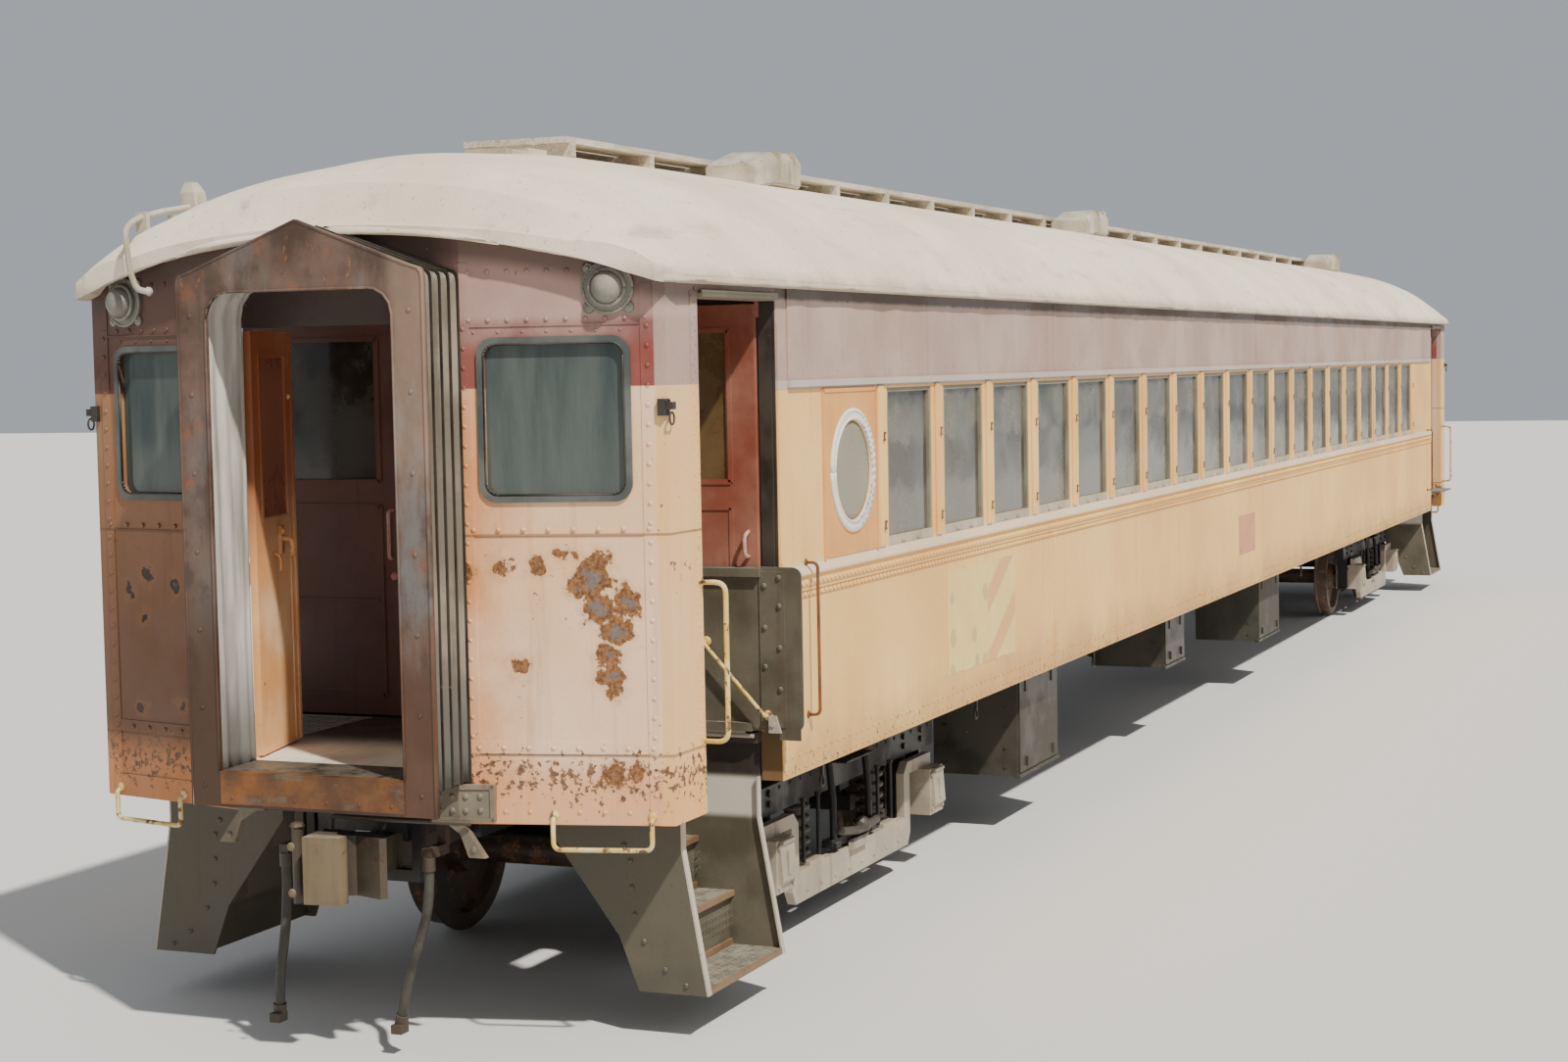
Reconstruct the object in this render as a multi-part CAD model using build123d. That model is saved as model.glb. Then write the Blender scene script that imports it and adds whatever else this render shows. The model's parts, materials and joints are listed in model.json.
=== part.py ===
from build123d import *
from math import acos, atan2, cos, degrees, hypot, radians, sin, tan
import os

# A long riveted steel interurban trailer coach on two four-wheel trucks.
# Millimetres. +X is the end with the open diaphragm, +Y its left side, +Z up.
# Heights are measured from the flange tips, which stand on z = 0.
# A station is a distance behind the outer sheet of the end it belongs to.

# Wheels and track
tread_radius = 420.0
flange_height = 28.0
flange_thickness = 32.0
wheel_width = 135.0
wheel_back_to_back = 1360.0
wheel_rim = 62.0
wheel_web = 26.0
hub_radius = 125.0
hub_length = 180.0
axle_radius = 78.0
journal_radius = 62.0
journal_clearance = 0.5
rail = flange_height

# Body
body_length = 23900.0
body_half_width = 1470.0
wall = 110.0
sheet_bottom = rail + 989.0
belt_bottom = rail + 1865.0
belt_top = rail + 1935.0
sill_top = rail + 1985.0
window_bottom = rail + 1990.0
window_top = rail + 2815.0
letterboard_bottom = rail + 2838.0
letterboard_moulding = 34.0
wall_top = rail + 3300.0
belt_proud = 10.0
sill_proud = 26.0
letterboard_proud = 8.0
moulding_proud = 20.0
letterboard_setback = 130.0
floor_top = rail + 1222.0
floor_thickness = 50.0
wall_play = 4.0
inner_side = body_half_width - wall

# Vestibules and end walls
vestibule_length = 1411.6
jamb_station = 532.6
panel_inner = 572.6
panel_outer = body_half_width - 52.2
panel_slope = 0.2307
corner_station = 210.0
end_wall = 60.0
end_door_half = 555.0
end_door_top = rail + 3150.0
end_arch_centre = rail + 3540.0
end_arch_side = rail + 3282.0
bulkhead = 50.0
bulkhead_door_half = 400.0
header_bottom = rail + 3240.0
door_recess = 90.0
door_hinge_station = vestibule_length - 15.6
door_hinge_y = body_half_width - door_recess

# Side windows
window_pitch = 907.3
first_post_station = 2799.6
last_post_least = 2700.0
window_count = int((body_length - first_post_station - last_post_least) // window_pitch)
window_width = 700.0
glass_thickness = 8.0
glass_inset = 22.0
sash_rail = 48.0
round_window_station = 2380.0
round_window_height = rail + 2410.0
round_glass_radius = 250.0
round_frame_radius = 308.0
frame_proud = 12.0

# End windows, measured along the slanted panel and up
panel_length = (panel_outer - panel_inner) * hypot(1, panel_slope)
end_window_inner = 97.0
end_window_outer = panel_length - 99.4
end_window_low = rail + 2378.0
end_window_high = rail + 3083.0
end_window_frame = 28.0
end_window_radius = 78.0

# Roof
roof_half_width = body_half_width + 60.0
roof_crown = rail + 3995.0
roof_eave = rail + 3335.0
roof_nose = rail + 3590.0
visor_drop = 12.0
hood_start = 30.0
arch_depth = 330.0
crown_flatness = 0.642
haunch_share = 0.426
roof_thickness = 50.0
roof_overhang = 80.0
hood_length = 2230.0
hood_power = 2.93
hood_steps = (0.0, 0.035, 0.13, 0.32, 0.62, 1.0)

# Running board and ventilators: first and last station from the +X end
walk_half = 290.0
walk_height = 85.0
walk_thickness = 30.0
walk_first = 1650.0
saddle_pitch = 900.0
saddle_width = 50.0
vent_width = 400.0
vent_offset = 330.0
vent_height = 210.0
vents = ((3200.0, 4050.0), (9700.0, 10600.0), (body_length - 3600.0, body_length - 2800.0))

# Diaphragm
plate_face = 325.0
plate_thickness = 25.0
plate_half = 612.0
plate_bottom = rail + 1068.0
plate_shoulder = rail + 3366.0
plate_peak = rail + 3594.0
passage_half = 466.0
passage_top = rail + 3299.0
passage_radius = 115.0
shoulder_radius = 45.0
bellows_count = 4
bellows_frame = 26.0
bellows_out = 596.0
bellows_in = 560.0
bellows_bore = 500.0

# Steps, traps and doors
stair_inner = body_half_width - 755.0
stair_outer = inner_side - wall_play
stair_foot = body_half_width - 2.0
step_plate = 12.0
step_front = jamb_station - 17.6
step_rear = vestibule_length - 11.6
step_bottom = rail + 175.0
tread_thickness = 25.0
riser_thickness = 10.0
trap_hinge_station = door_hinge_station - 56.0
trap_hinge_z = floor_top - 12.0
trap_inner = stair_inner + 7.0
trap_outer = body_half_width + 135.0
trap_thickness = 40.0
trap_setback = 24.0
trap_free_station = jamb_station + 12.4
prop_radius = 10.0
prop_drop = 18.0
prop_start = (trap_hinge_station - 440.0, body_half_width - 350.0)
prop_finish = (trap_hinge_station - 100.0, body_half_width - 40.0)
hinge_radius = 11.0
hinge_gap = 0.5
door_thickness = 32.0
door_free_station = jamb_station + 8.4
door_bottom = floor_top + 10.0
door_top = rail + 3228.0
pivot_radius = 13.0
pivot_gap = 0.3
leaf_thickness = 35.0
leaf_open = 105.0
leaf_gap = 6.0
leaf_pin_inset = 20.0
leaf_hinge_station = 60.0

# Trucks
truck_station = 3350.0
wheelbase = 2340.0
journal_end = 1085.0
box_inner = 868.0
box_outer = 1150.0
box_half = 115.0
box_low = rail + 290.0
box_high = rail + 560.0
frame_inner = 900.0
frame_outer = 1000.0
frame_low = rail + 640.0
frame_high = rail + 790.0
frame_half = 1545.0
jaw = 55.0
jaw_gap = 3.0
jaw_low = rail + 315.0
equalizer_inner = 1030.0
equalizer_outer = 1078.0
equalizer_low = rail + 150.0
equalizer_depth = 165.0
equalizer_half = wheelbase / 2 - box_half - 150.0
equalizer_neck = 95.0
spring_x = 560.0
spring_radius = 82.0
spring_wire = 17.0
spring_turns = 5
bolster_half = 210.0
transom_offset = 300.0
transom_half = 70.0
bolster_low = rail + 560.0
bolster_high = rail + 800.0
centre_plate_radius = 190.0
centre_plate_top = rail + 850.0
shoe_gap = 10.0
beam_depth = 60.0

# Underframe
sill_half = 230.0
sill_low = rail + 880.0
side_sill_inner = inner_side - 130.0
side_sill_low = rail + 1005.0
bearer_width = 60.0
bearer_low = rail + 905.0
bearer_stations = (5300.0, 7300.0, 9300.0, 11300.0)

# Lamps, grab irons, hoses and equipment
lamp_y = panel_outer - 183.8
lamp_z = rail + 3284.0
grab_station = jamb_station - 22.6
grab_y = body_half_width + 120.0
grab_radius = 11.0
thin_rod_station = 1736.0
thin_rod_standoff = 62.0
thin_rod_radius = 8.0
panel_grab_in = 390.0
panel_grab_out = 800.0
panel_grab_low = rail + 886.0
hose_radius = 22.0
hose_collar = 7.0
hose_collar_length = 45.0
conduit_y = body_half_width - 370.0
conduit_z = rail + 3640.0
conduit_radius = 24.0
slab_height = 30.0
equipment_depth = 560.0
equipment_outer = side_sill_inner + 60.0

# Seats
seat_first = first_post_station - 200.0
seat_inner = 470.0
seat_outer = inner_side - 8.0
seat_height = 450.0
seat_frame = 330.0
seat_back = 1060.0
duct_width = 90.0
duct_height = 160.0

# Coupler and draft gear
coupler_pocket = 900.0
coupler_height = rail + 832.0
coupler_swing = 7.0
shank_half = 80.0

half_length = body_length / 2
floor_low = floor_top - floor_thickness

# Treads: height over the rail, then inner and outer edge, both measured in from the side wall's face
treads = (
    (200.0, 280.0, 8.0),
    (460.0, 460.0, 255.0),
    (712.0, 615.0, 435.0),
    (967.0, 752.0, 590.0),
)

# Boxes under the floor: first and last station from the +X end, bottom
equipment = (
    (5690.0, 6570.0, rail + 320.0),
    (9500.0, 10150.0, rail + 560.0),
    (12960.0, 13900.0, rail + 390.0),
)

# Hose centre lines, from the fitting down to the loose end
hose_one = (
    (half_length + 40, -330, rail + 760),
    (half_length + 40, -330, rail + 610),
    (half_length + 88, -320, rail + 440),
    (half_length + 106, -338, rail + 280),
    (half_length + 92, -352, rail + 150),
)
hose_two = (
    (half_length + 40, 400, rail + 780),
    (half_length + 40, 400, rail + 640),
    (half_length + 92, 372, rail + 470),
    (half_length + 112, 318, rail + 300),
    (half_length + 96, 280, rail + 150),
)


def at(station):
    return half_length - station


def block(x0, x1, y0, y1, z0, z1):
    return Pos((x0 + x1) / 2, (y0 + y1) / 2, (z0 + z1) / 2) * Box(abs(x1 - x0), abs(y1 - y0), abs(z1 - z0))


def prism_x(points, x0, x1):
    sketch = Plane.YZ.offset(min(x0, x1)) * Polygon(*points, align=None)
    return extrude(sketch, amount=abs(x1 - x0), dir=(1, 0, 0))


def prism_y(points, y0, y1):
    sketch = Plane.XZ.offset(-min(y0, y1)) * Polygon(*points, align=None)
    return extrude(sketch, amount=abs(y1 - y0), dir=(0, 1, 0))


def prism_z(points, z0, z1):
    return extrude(Pos(0, 0, z0) * Polygon(*points, align=None), amount=z1 - z0, dir=(0, 0, 1))


def rod_y(x, z, radius, y0, y1):
    return Pos(x, (y0 + y1) / 2, z) * Rot(90, 0, 0) * Cylinder(radius, abs(y1 - y0))


def rod_x(y, z, radius, x0, x1):
    return Pos((x0 + x1) / 2, y, z) * Rot(0, 90, 0) * Cylinder(radius, abs(x1 - x0))


def rod_z(x, y, radius, z0, z1):
    return Pos(x, y, (z0 + z1) / 2) * Cylinder(radius, abs(z1 - z0))


def rod(start, end, radius):
    line = Vector(*end) - Vector(*start)
    return extrude(Plane(origin=start, z_dir=line) * Circle(radius), amount=line.length)


def right(shape):
    return mirror(shape, about=Plane.XZ)


def far(shape):
    return mirror(shape, about=Plane.YZ)


def joined(shapes):
    total = shapes[0]
    for shape in shapes[1:]:
        total = total + shape
    return total


# Roof: a crown arc between two tighter haunch arcs, lofted along the car
def crown_radius(half_width, height):
    return crown_flatness * (half_width**2 + height**2) / height


def roof_section(x, half_width, crown, eave, bottom):
    radius = crown_radius(half_width, crown - eave)
    haunch_radius = haunch_share * radius
    rise = radius - (crown - eave)
    ring = radius - haunch_radius
    reach = hypot(half_width, rise)
    lean = acos((reach**2 + ring**2 - haunch_radius**2) / (2 * ring * reach))
    turn = atan2(half_width, rise) - lean
    centre = crown - radius
    joint = (radius * sin(turn), centre + radius * cos(turn))
    haunch_y = ring * sin(turn)
    haunch_z = centre + ring * cos(turn)
    end_angle = atan2(half_width - haunch_y, eave - haunch_z)
    middle = (turn + end_angle) / 2
    mid = (haunch_y + haunch_radius * sin(middle), haunch_z + haunch_radius * cos(middle))
    base_right = (half_width, bottom)
    edges = [
        Line((-half_width, bottom), base_right),
        Line(base_right, (half_width, eave)),
        ThreePointArc((half_width, eave), mid, joint),
        ThreePointArc(joint, (0, crown), (-joint[0], joint[1])),
        ThreePointArc((-joint[0], joint[1]), (-mid[0], mid[1]), (-half_width, eave)),
        Line((-half_width, eave), (-half_width, bottom)),
    ]
    return Plane.YZ.offset(x) * make_face(Curve() + edges)


def hood_crown(share, nose, crown):
    return nose + (crown - nose) * (1 - (1 - share) ** hood_power) ** (1 / hood_power)


def roof_solid(inset):
    start = at(hood_start) - inset
    length = hood_length - inset
    stations = [(start + hood_start + roof_overhang, roof_nose - visor_drop)]
    stations += [(start - share * length, hood_crown(share, roof_nose, roof_crown)) for share in hood_steps]
    stations += [(-x, crown) for x, crown in reversed(stations)]
    width = roof_half_width - 2.2 * inset
    sections = [roof_section(x, width, crown - inset, roof_eave - 0.4 * inset, wall_top) for x, crown in stations]
    return loft(sections, ruled=True)


def end_profile(offset):
    front = at(-offset)
    back = panel_slope * (panel_outer - panel_inner)
    side = body_half_width + offset * 0.75
    return [
        (front, panel_inner),
        (front - back, panel_outer + offset * 0.7),
        (at(corner_station), side),
    ]


def roof_plan():
    half = end_profile(roof_overhang)
    side = roof_half_width + 20
    points = [(half[0][0], half[0][1]), (half[1][0] + 10, half[1][1]), (at(arch_depth), side)]
    ring = points + [(-x, y) for x, y in reversed(points)]
    ring += [(x, -y) for x, y in reversed(ring)]
    return prism_z(ring, wall_top - 50, roof_crown + 50)


def arch(x0, x1, lift=0.0):
    centre = (0, end_arch_centre + lift)
    side = (body_half_width + 100, end_arch_side + lift - 10)
    edges = [
        Line((-side[0], 0), (side[0], 0)),
        Line((side[0], 0), side),
        ThreePointArc(side, centre, (-side[0], side[1])),
        Line((-side[0], side[1]), (-side[0], 0)),
    ]
    return extrude(Plane.YZ.offset(min(x0, x1)) * make_face(Curve() + edges), amount=abs(x1 - x0))


roof_inside = roof_solid(roof_thickness)
roof = (roof_solid(0) & roof_plan()) - roof_inside
roof = roof - arch(at(-200), at(arch_depth)) - far(arch(at(-200), at(arch_depth)))


# End wall: two slanted panels, corner posts and a header over the doorway
def end_wall_plan():
    slant = end_wall * hypot(1, panel_slope)
    outline = [
        (at(0), end_door_half),
        (at(0), panel_inner),
        (at(panel_slope * (panel_outer - panel_inner)), panel_outer),
        (at(corner_station), body_half_width),
        (at(jamb_station), body_half_width),
        (at(jamb_station), inner_side),
        (at(slant + panel_slope * (inner_side - panel_inner)), inner_side),
        (at(slant), panel_inner),
        (at(slant), end_door_half),
    ]
    return outline


panel_turn = degrees(atan2(panel_slope, 1.0))
panel_plane = Plane(
    origin=(at(0), panel_inner, 0),
    x_dir=(-sin(radians(panel_turn)), cos(radians(panel_turn)), 0),
    z_dir=(cos(radians(panel_turn)), sin(radians(panel_turn)), 0),
)


def on_panel(along, z, lift=0.0):
    return panel_plane.offset(lift) * Pos(along, z)


def panel_rect(a0, a1, z0, z1, radius, lift, depth):
    sketch = on_panel((a0 + a1) / 2, (z0 + z1) / 2, lift) * RectangleRounded(a1 - a0, z1 - z0, radius)
    return extrude(sketch, amount=-depth)


def end_window_size(shrink):
    return (
        end_window_inner + shrink,
        end_window_outer - shrink,
        end_window_low + shrink,
        end_window_high - shrink,
        end_window_radius - shrink,
    )


def end_panel():
    panel = prism_z(end_wall_plan(), sheet_bottom, wall_top + 400)
    return panel - panel_rect(*end_window_size(end_window_frame), frame_proud + 5, end_wall * 2)


def end_window_rim():
    rim = panel_rect(*end_window_size(0), frame_proud, frame_proud)
    return rim - panel_rect(*end_window_size(end_window_frame + 3), frame_proud + 5, end_wall)


def end_glass():
    return panel_rect(*end_window_size(end_window_frame), -glass_inset, glass_thickness)


def door_header():
    return block(at(jamb_station), at(vestibule_length), door_hinge_y, body_half_width, header_bottom, wall_top)


def end_structure():
    half = end_panel() + door_header()
    slant = end_wall * hypot(1, panel_slope)
    top = block(at(0), at(slant), -end_door_half, end_door_half, end_door_top, wall_top + 400)
    whole = joined([half, right(half), top])
    under_visor = arch(at(-50), at(arch_depth))
    behind = block(at(arch_depth), at(vestibule_length), -body_half_width, body_half_width, 0, wall_top)
    low_part = whole & (under_visor + behind)
    high_part = (whole - under_visor) & roof_inside
    return low_part + high_part


# Side wall with belt band, window sill, letterboard and window openings
def side_profile():
    outer = body_half_width
    return [
        (outer - wall, sheet_bottom),
        (outer, sheet_bottom),
        (outer, belt_bottom),
        (outer + belt_proud, belt_bottom),
        (outer + belt_proud, belt_top),
        (outer + sill_proud, belt_top + 4),
        (outer + sill_proud, belt_top + 14),
        (outer, sill_top),
        (outer, wall_top),
        (outer - wall, wall_top),
    ]


def window_centres():
    return [first_post_station + window_pitch * (i + 0.5) for i in range(window_count)]


def side_wall():
    outer = body_half_width
    shell = prism_x(side_profile(), at(vestibule_length), -at(vestibule_length))
    board_end = at(vestibule_length + letterboard_setback)
    board_top = letterboard_bottom + letterboard_moulding
    shell += block(-board_end, board_end, outer - 5, outer + letterboard_proud, board_top, wall_top)
    shell += block(-board_end, board_end, outer - 5, outer + moulding_proud, letterboard_bottom, board_top)
    ring_x = at(round_window_station)
    cuts = []
    for station in window_centres():
        x = at(station)
        cuts.append(block(x - window_width / 2, x + window_width / 2, outer - wall - 5, outer + 5, window_bottom, window_top))
    cuts.append(rod_y(ring_x, round_window_height, round_glass_radius, outer - wall - 5, outer + 50))
    for cut in cuts:
        shell = shell - cut
    sashes = []
    for station in window_centres():
        x = at(station)
        sashes.append(
            block(
                x - window_width / 2, x + window_width / 2,
                outer - glass_inset - 30, outer - 6, window_bottom, window_bottom + sash_rail,
            )
        )
    for sash in sashes:
        shell = shell + sash
    return shell


def round_window_rim():
    ring_x = at(round_window_station)
    outer = body_half_width
    disc = rod_y(ring_x, round_window_height, round_frame_radius, outer, outer + frame_proud)
    return disc - rod_y(ring_x, round_window_height, round_glass_radius + 3, outer - 5, outer + 50)


def side_glass():
    outer = body_half_width - glass_inset
    panes = []
    for station in window_centres():
        x = at(station)
        panes.append(
            block(
                x - window_width / 2, x + window_width / 2,
                outer - glass_thickness, outer, window_bottom + sash_rail, window_top,
            )
        )
    panes.append(rod_y(at(round_window_station), round_window_height, round_glass_radius, outer - glass_thickness, outer))
    return panes


# Floor, cut away over the four stairwells
def floor_slab():
    saloon = block(at(vestibule_length), -at(vestibule_length), -inner_side, inner_side, floor_low, floor_top)
    slant = end_wall * hypot(1, panel_slope)
    edge = trap_hinge_station + hinge_radius + hinge_gap
    half = [
        (at(slant), 0),
        (at(slant), panel_inner),
        (at(slant + panel_slope * (inner_side - panel_inner)), inner_side),
        (at(jamb_station), inner_side),
        (at(jamb_station), stair_inner),
        (at(edge), stair_inner),
        (at(edge), inner_side),
        (at(vestibule_length), inner_side),
        (at(vestibule_length), 0),
    ]
    half_slab = prism_z(half, floor_low, floor_top)
    front_lip = block(at(0), at(slant), -end_door_half, end_door_half, floor_low, floor_top)
    vestibule = joined([half_slab, right(half_slab), front_lip])
    return joined([saloon, vestibule, far(vestibule)])


# Inner partition between vestibule and saloon
def partition():
    wall_block = block(at(vestibule_length), at(vestibule_length + bulkhead), -inner_side, inner_side, floor_top, roof_crown)
    roof_part = roof_inside + block(at(0), -at(0), -inner_side, inner_side, floor_top, wall_top)
    doorway = block(
        at(vestibule_length) + 5, at(vestibule_length + bulkhead) - 5,
        -bulkhead_door_half, bulkhead_door_half, floor_top, end_door_top,
    )
    return (wall_block & roof_part) - doorway


# Underframe: centre sill, side sills, cross bearers, body bolsters and end sills
def underframe():
    sill_end = at(70)
    pieces = [block(-sill_end, sill_end, -sill_half, sill_half, sill_low, floor_low)]
    side_end = at(vestibule_length)
    side_sill = block(-side_end, side_end, side_sill_inner, inner_side, side_sill_low, floor_low)
    pieces += [side_sill, right(side_sill)]
    spots = []
    for station in bearer_stations:
        spots += [at(station), -at(station)]
    for x in spots:
        taper = [
            (-inner_side, floor_low), (-inner_side, side_sill_low), (-sill_half, bearer_low),
            (sill_half, bearer_low), (inner_side, side_sill_low), (inner_side, floor_low),
        ]
        pieces.append(prism_x(taper, x - bearer_width / 2, x + bearer_width / 2))
    for x in (at(truck_station), -at(truck_station)):
        pieces.append(block(x - 150, x + 150, -inner_side, inner_side, rail + 960, floor_low))
        pieces.append(rod_z(x, 0, centre_plate_radius, centre_plate_top + pivot_gap, sill_low))
    slant = end_wall * hypot(1, panel_slope)
    end_sill = [
        (at(slant), -panel_inner), (at(slant), panel_inner),
        (at(slant + panel_slope * (stair_inner - panel_inner)), stair_inner - 5),
        (at(slant + 260), stair_inner - 5), (at(slant + 260), -stair_inner + 5),
        (at(slant + panel_slope * (stair_inner - panel_inner)), -stair_inner + 5),
    ]
    sill = prism_z(end_sill, sheet_bottom + 10, floor_low)
    nose = block(at(0), at(slant), -end_door_half, end_door_half, sheet_bottom + 10, floor_low)
    pieces += [sill, far(sill), nose, far(nose)]
    return joined(pieces)


# Diaphragm face plate with its threshold bar, and the folded bellows behind it
def gable(half, bottom, shoulder, peak, x0, x1):
    outline = Polygon((-half, bottom), (half, bottom), (half, shoulder), (0, peak), (-half, shoulder), align=None)
    upper = [corner for corner in outline.vertices() if corner.Y > shoulder - 1]
    outline = fillet(upper, shoulder_radius)
    return extrude(Plane.YZ.offset(x0) * outline, amount=x1 - x0, dir=(1, 0, 0))


def passage(x0, x1, half, bottom, top, radius):
    height = top - bottom + radius * 2
    sketch = RectangleRounded(half * 2, height, radius)
    centre_z = top - height / 2
    tube = extrude(Plane.YZ.offset(min(x0, x1)) * Pos(0, centre_z) * sketch, amount=abs(x1 - x0))
    return tube & block(x0, x1, -half, half, bottom, top)


def face_plate():
    front = at(-plate_face)
    back = front - plate_thickness
    plate = gable(plate_half, plate_bottom, plate_shoulder, plate_peak, back, front)
    return plate - passage(back - 5, front + 5, passage_half, floor_top, passage_top, passage_radius)


def bellows():
    span = plate_face - plate_thickness
    pitch = span / bellows_count
    pieces = []
    for i in range(bellows_count):
        x0 = at(0) + i * pitch
        x1 = x0 + bellows_frame
        pieces.append(gable(bellows_out, floor_low, plate_shoulder - 10, plate_peak - 20, x0, x1))
        pieces.append(gable(bellows_in, floor_low, plate_shoulder - 45, plate_peak - 60, x1, x0 + pitch))
    tunnel = passage(at(-span) + 5, at(0) - 5, bellows_bore, floor_low - 5, passage_top + 30, passage_radius + 25)
    return joined(pieces) - tunnel


# Buffer beam with its foot plate and the riveted bracket on the end sill
def buffer_beam():
    back_of_plate = at(-plate_face) - plate_thickness
    beam = block(at(0), back_of_plate, -400, 400, plate_bottom + 20, floor_low)
    foot = block(at(0), back_of_plate, -bellows_bore + 10, bellows_bore - 10, floor_low - 5, floor_top)
    return beam + foot


def end_bracket():
    bracket = prism_z(
        [(at(0), 430), (at(-45), 430), (at(-45), 560), (at(0), 705), (at(30), 705), (at(0), panel_inner)],
        rail + 1003, floor_low - 8,
    )
    hook = prism_x([(470, rail + 1010), (560, rail + 1010), (600, rail + 960), (680, rail + 850), (600, rail + 850), (560, rail + 950)], at(-42), at(-8))
    return bracket + hook - end_panel()


# Coupler with a knuckle and guard arm, turned about its pocket
def coupler():
    z0 = coupler_height - 145
    z1 = coupler_height + 145
    nose = at(-420)
    shank = block(at(-170), at(coupler_pocket), -65, 65, coupler_height - shank_half, coupler_height + shank_half)
    guard_outline = [
        (at(-170), -120), (at(-170), 110), (at(-310), 190), (at(-330), 165),
        (at(-270), 30), (at(-300), -60), (at(-290), -130),
    ]
    head = prism_z(guard_outline, z0 + 15, z1 - 15)
    knuckle_outline = [(at(-270), -150), (nose, -150), (nose, 20), (nose - 60, 30), (nose - 95, -40), (at(-270), -50)]
    knuckle = prism_z(knuckle_outline, z0, z1)
    return joined([shank, head, knuckle])


def turned_coupler(angle):
    pivot = Pos(at(coupler_pocket), 0, 0)
    return pivot * Rot(0, 0, angle) * pivot.inverse() * coupler()


def draft_gear():
    carrier = block(at(70), at(120), -290, 290, rail + 700, coupler_height - shank_half - pivot_gap)
    hangers = [block(at(70), at(120), y, y + 40, rail + 700, sheet_bottom + 10) for y in (-290, 250)]
    pocket = block(at(coupler_pocket + 10), at(coupler_pocket + 500), -120, 120, rail + 740, sill_low)
    return joined([carrier, *hangers]) + pocket


def draft_slot():
    return block(at(-10), at(coupler_pocket + 10), -sill_half + 25, sill_half - 25, sill_low - 5, coupler_height + shank_half + 3)


# Stairwell: two side plates and four treads
def stairwell():
    top = floor_low
    outline = [
        (stair_outer, top), (stair_outer, rail + 820), (stair_foot, step_bottom),
        (stair_foot - 338, step_bottom), (stair_foot - 433, rail + 420),
        (stair_inner, rail + 850), (stair_inner, top),
    ]
    plates = []
    for station in (step_front, step_rear - step_plate):
        plates.append(prism_x(outline, at(station), at(station + step_plate)))
    x0 = at(step_front + step_plate)
    x1 = at(step_rear - step_plate)
    for height, inner, outer in treads:
        z = rail + height
        plates.append(block(x0, x1, body_half_width - inner, body_half_width - outer, z - tread_thickness, z))
    for lower, upper in zip(treads, treads[1:]):
        y = body_half_width - upper[2] - 37
        plates.append(block(x0, x1, y, y + riser_thickness, rail + lower[0] - 5, rail + upper[0] - tread_thickness + 5))
    return joined(plates)


# Trap door over the stairs, drawn lowered, with its hinge barrel and prop rod
def trap_lowered():
    slab = block(
        at(trap_free_station), at(trap_hinge_station - trap_setback), trap_inner, trap_outer,
        floor_top - trap_thickness, floor_top,
    )
    barrel = rod_y(at(trap_hinge_station), trap_hinge_z, hinge_radius, trap_inner, inner_side - wall_play)
    arm = block(
        at(trap_hinge_station - trap_setback - 6), at(trap_hinge_station), trap_inner + 40, inner_side - 40,
        trap_hinge_z - 5, trap_hinge_z + 5,
    )
    low = floor_top - trap_thickness - prop_drop
    spots = [(at(station), y) for station, y in (prop_start, prop_finish)]
    prop = rod((*spots[0], low), (*spots[1], low), prop_radius)
    ends = [rod_z(x, y, prop_radius + 4, low - prop_radius, low + 2 * prop_radius) for x, y in spots]
    return joined([slab, barrel, arm, prop, *ends])


def raised(shape):
    hinge = Pos(at(trap_hinge_station), 0, trap_hinge_z)
    return hinge * Rot(0, -90, 0) * hinge.inverse() * shape


# Side door leaf, drawn closed, then swung inward about its rear stile
def side_door_closed():
    y0 = door_hinge_y
    leaf = block(at(door_hinge_station), at(door_free_station), y0, y0 + door_thickness, door_bottom, door_top)
    pane = block(
        at(door_hinge_station - 150), at(door_free_station + 150), y0 - 5, y0 + 12,
        rail + 2415, door_top - 130,
    )
    pane_out = block(
        at(door_hinge_station - 150), at(door_free_station + 150), y0 + 20, y0 + door_thickness + 5,
        rail + 2415, door_top - 130,
    )
    pin = rod_z(at(door_hinge_station), y0, pivot_radius, floor_top + pivot_gap, door_bottom + 60)
    top_pin = rod_z(at(door_hinge_station), y0, pivot_radius, door_top - 60, header_bottom - pivot_gap)
    return joined([leaf - pane - pane_out, pin, top_pin])


def door_opened(shape):
    hinge = Pos(at(door_hinge_station), door_hinge_y, 0)
    return hinge * Rot(0, 0, -90) * hinge.inverse() * shape


# End door leaf, drawn closed, one of a pair
leaf_pin_y = end_door_half - leaf_pin_inset


def end_leaf_closed():
    leaf = block(
        at(leaf_hinge_station), at(leaf_hinge_station - leaf_thickness), leaf_gap, end_door_half - leaf_gap,
        door_bottom, end_door_top - 12,
    )
    pane = block(
        at(leaf_hinge_station) - 5, at(leaf_hinge_station) + 10, leaf_gap + 110, end_door_half - 110,
        rail + 2300, end_door_top - 130,
    )
    pane_out = block(
        at(leaf_hinge_station - leaf_thickness) - 10, at(leaf_hinge_station - leaf_thickness) + 5,
        leaf_gap + 110, end_door_half - 110, rail + 2300, end_door_top - 130,
    )
    pin = rod_z(at(leaf_hinge_station), leaf_pin_y, pivot_radius, floor_top + pivot_gap, door_bottom + 60)
    return joined([leaf - pane - pane_out, pin])


def leaf_opened(shape):
    hinge = Pos(at(leaf_hinge_station), leaf_pin_y, 0)
    return hinge * Rot(0, 0, -leaf_open) * hinge.inverse() * shape


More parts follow.
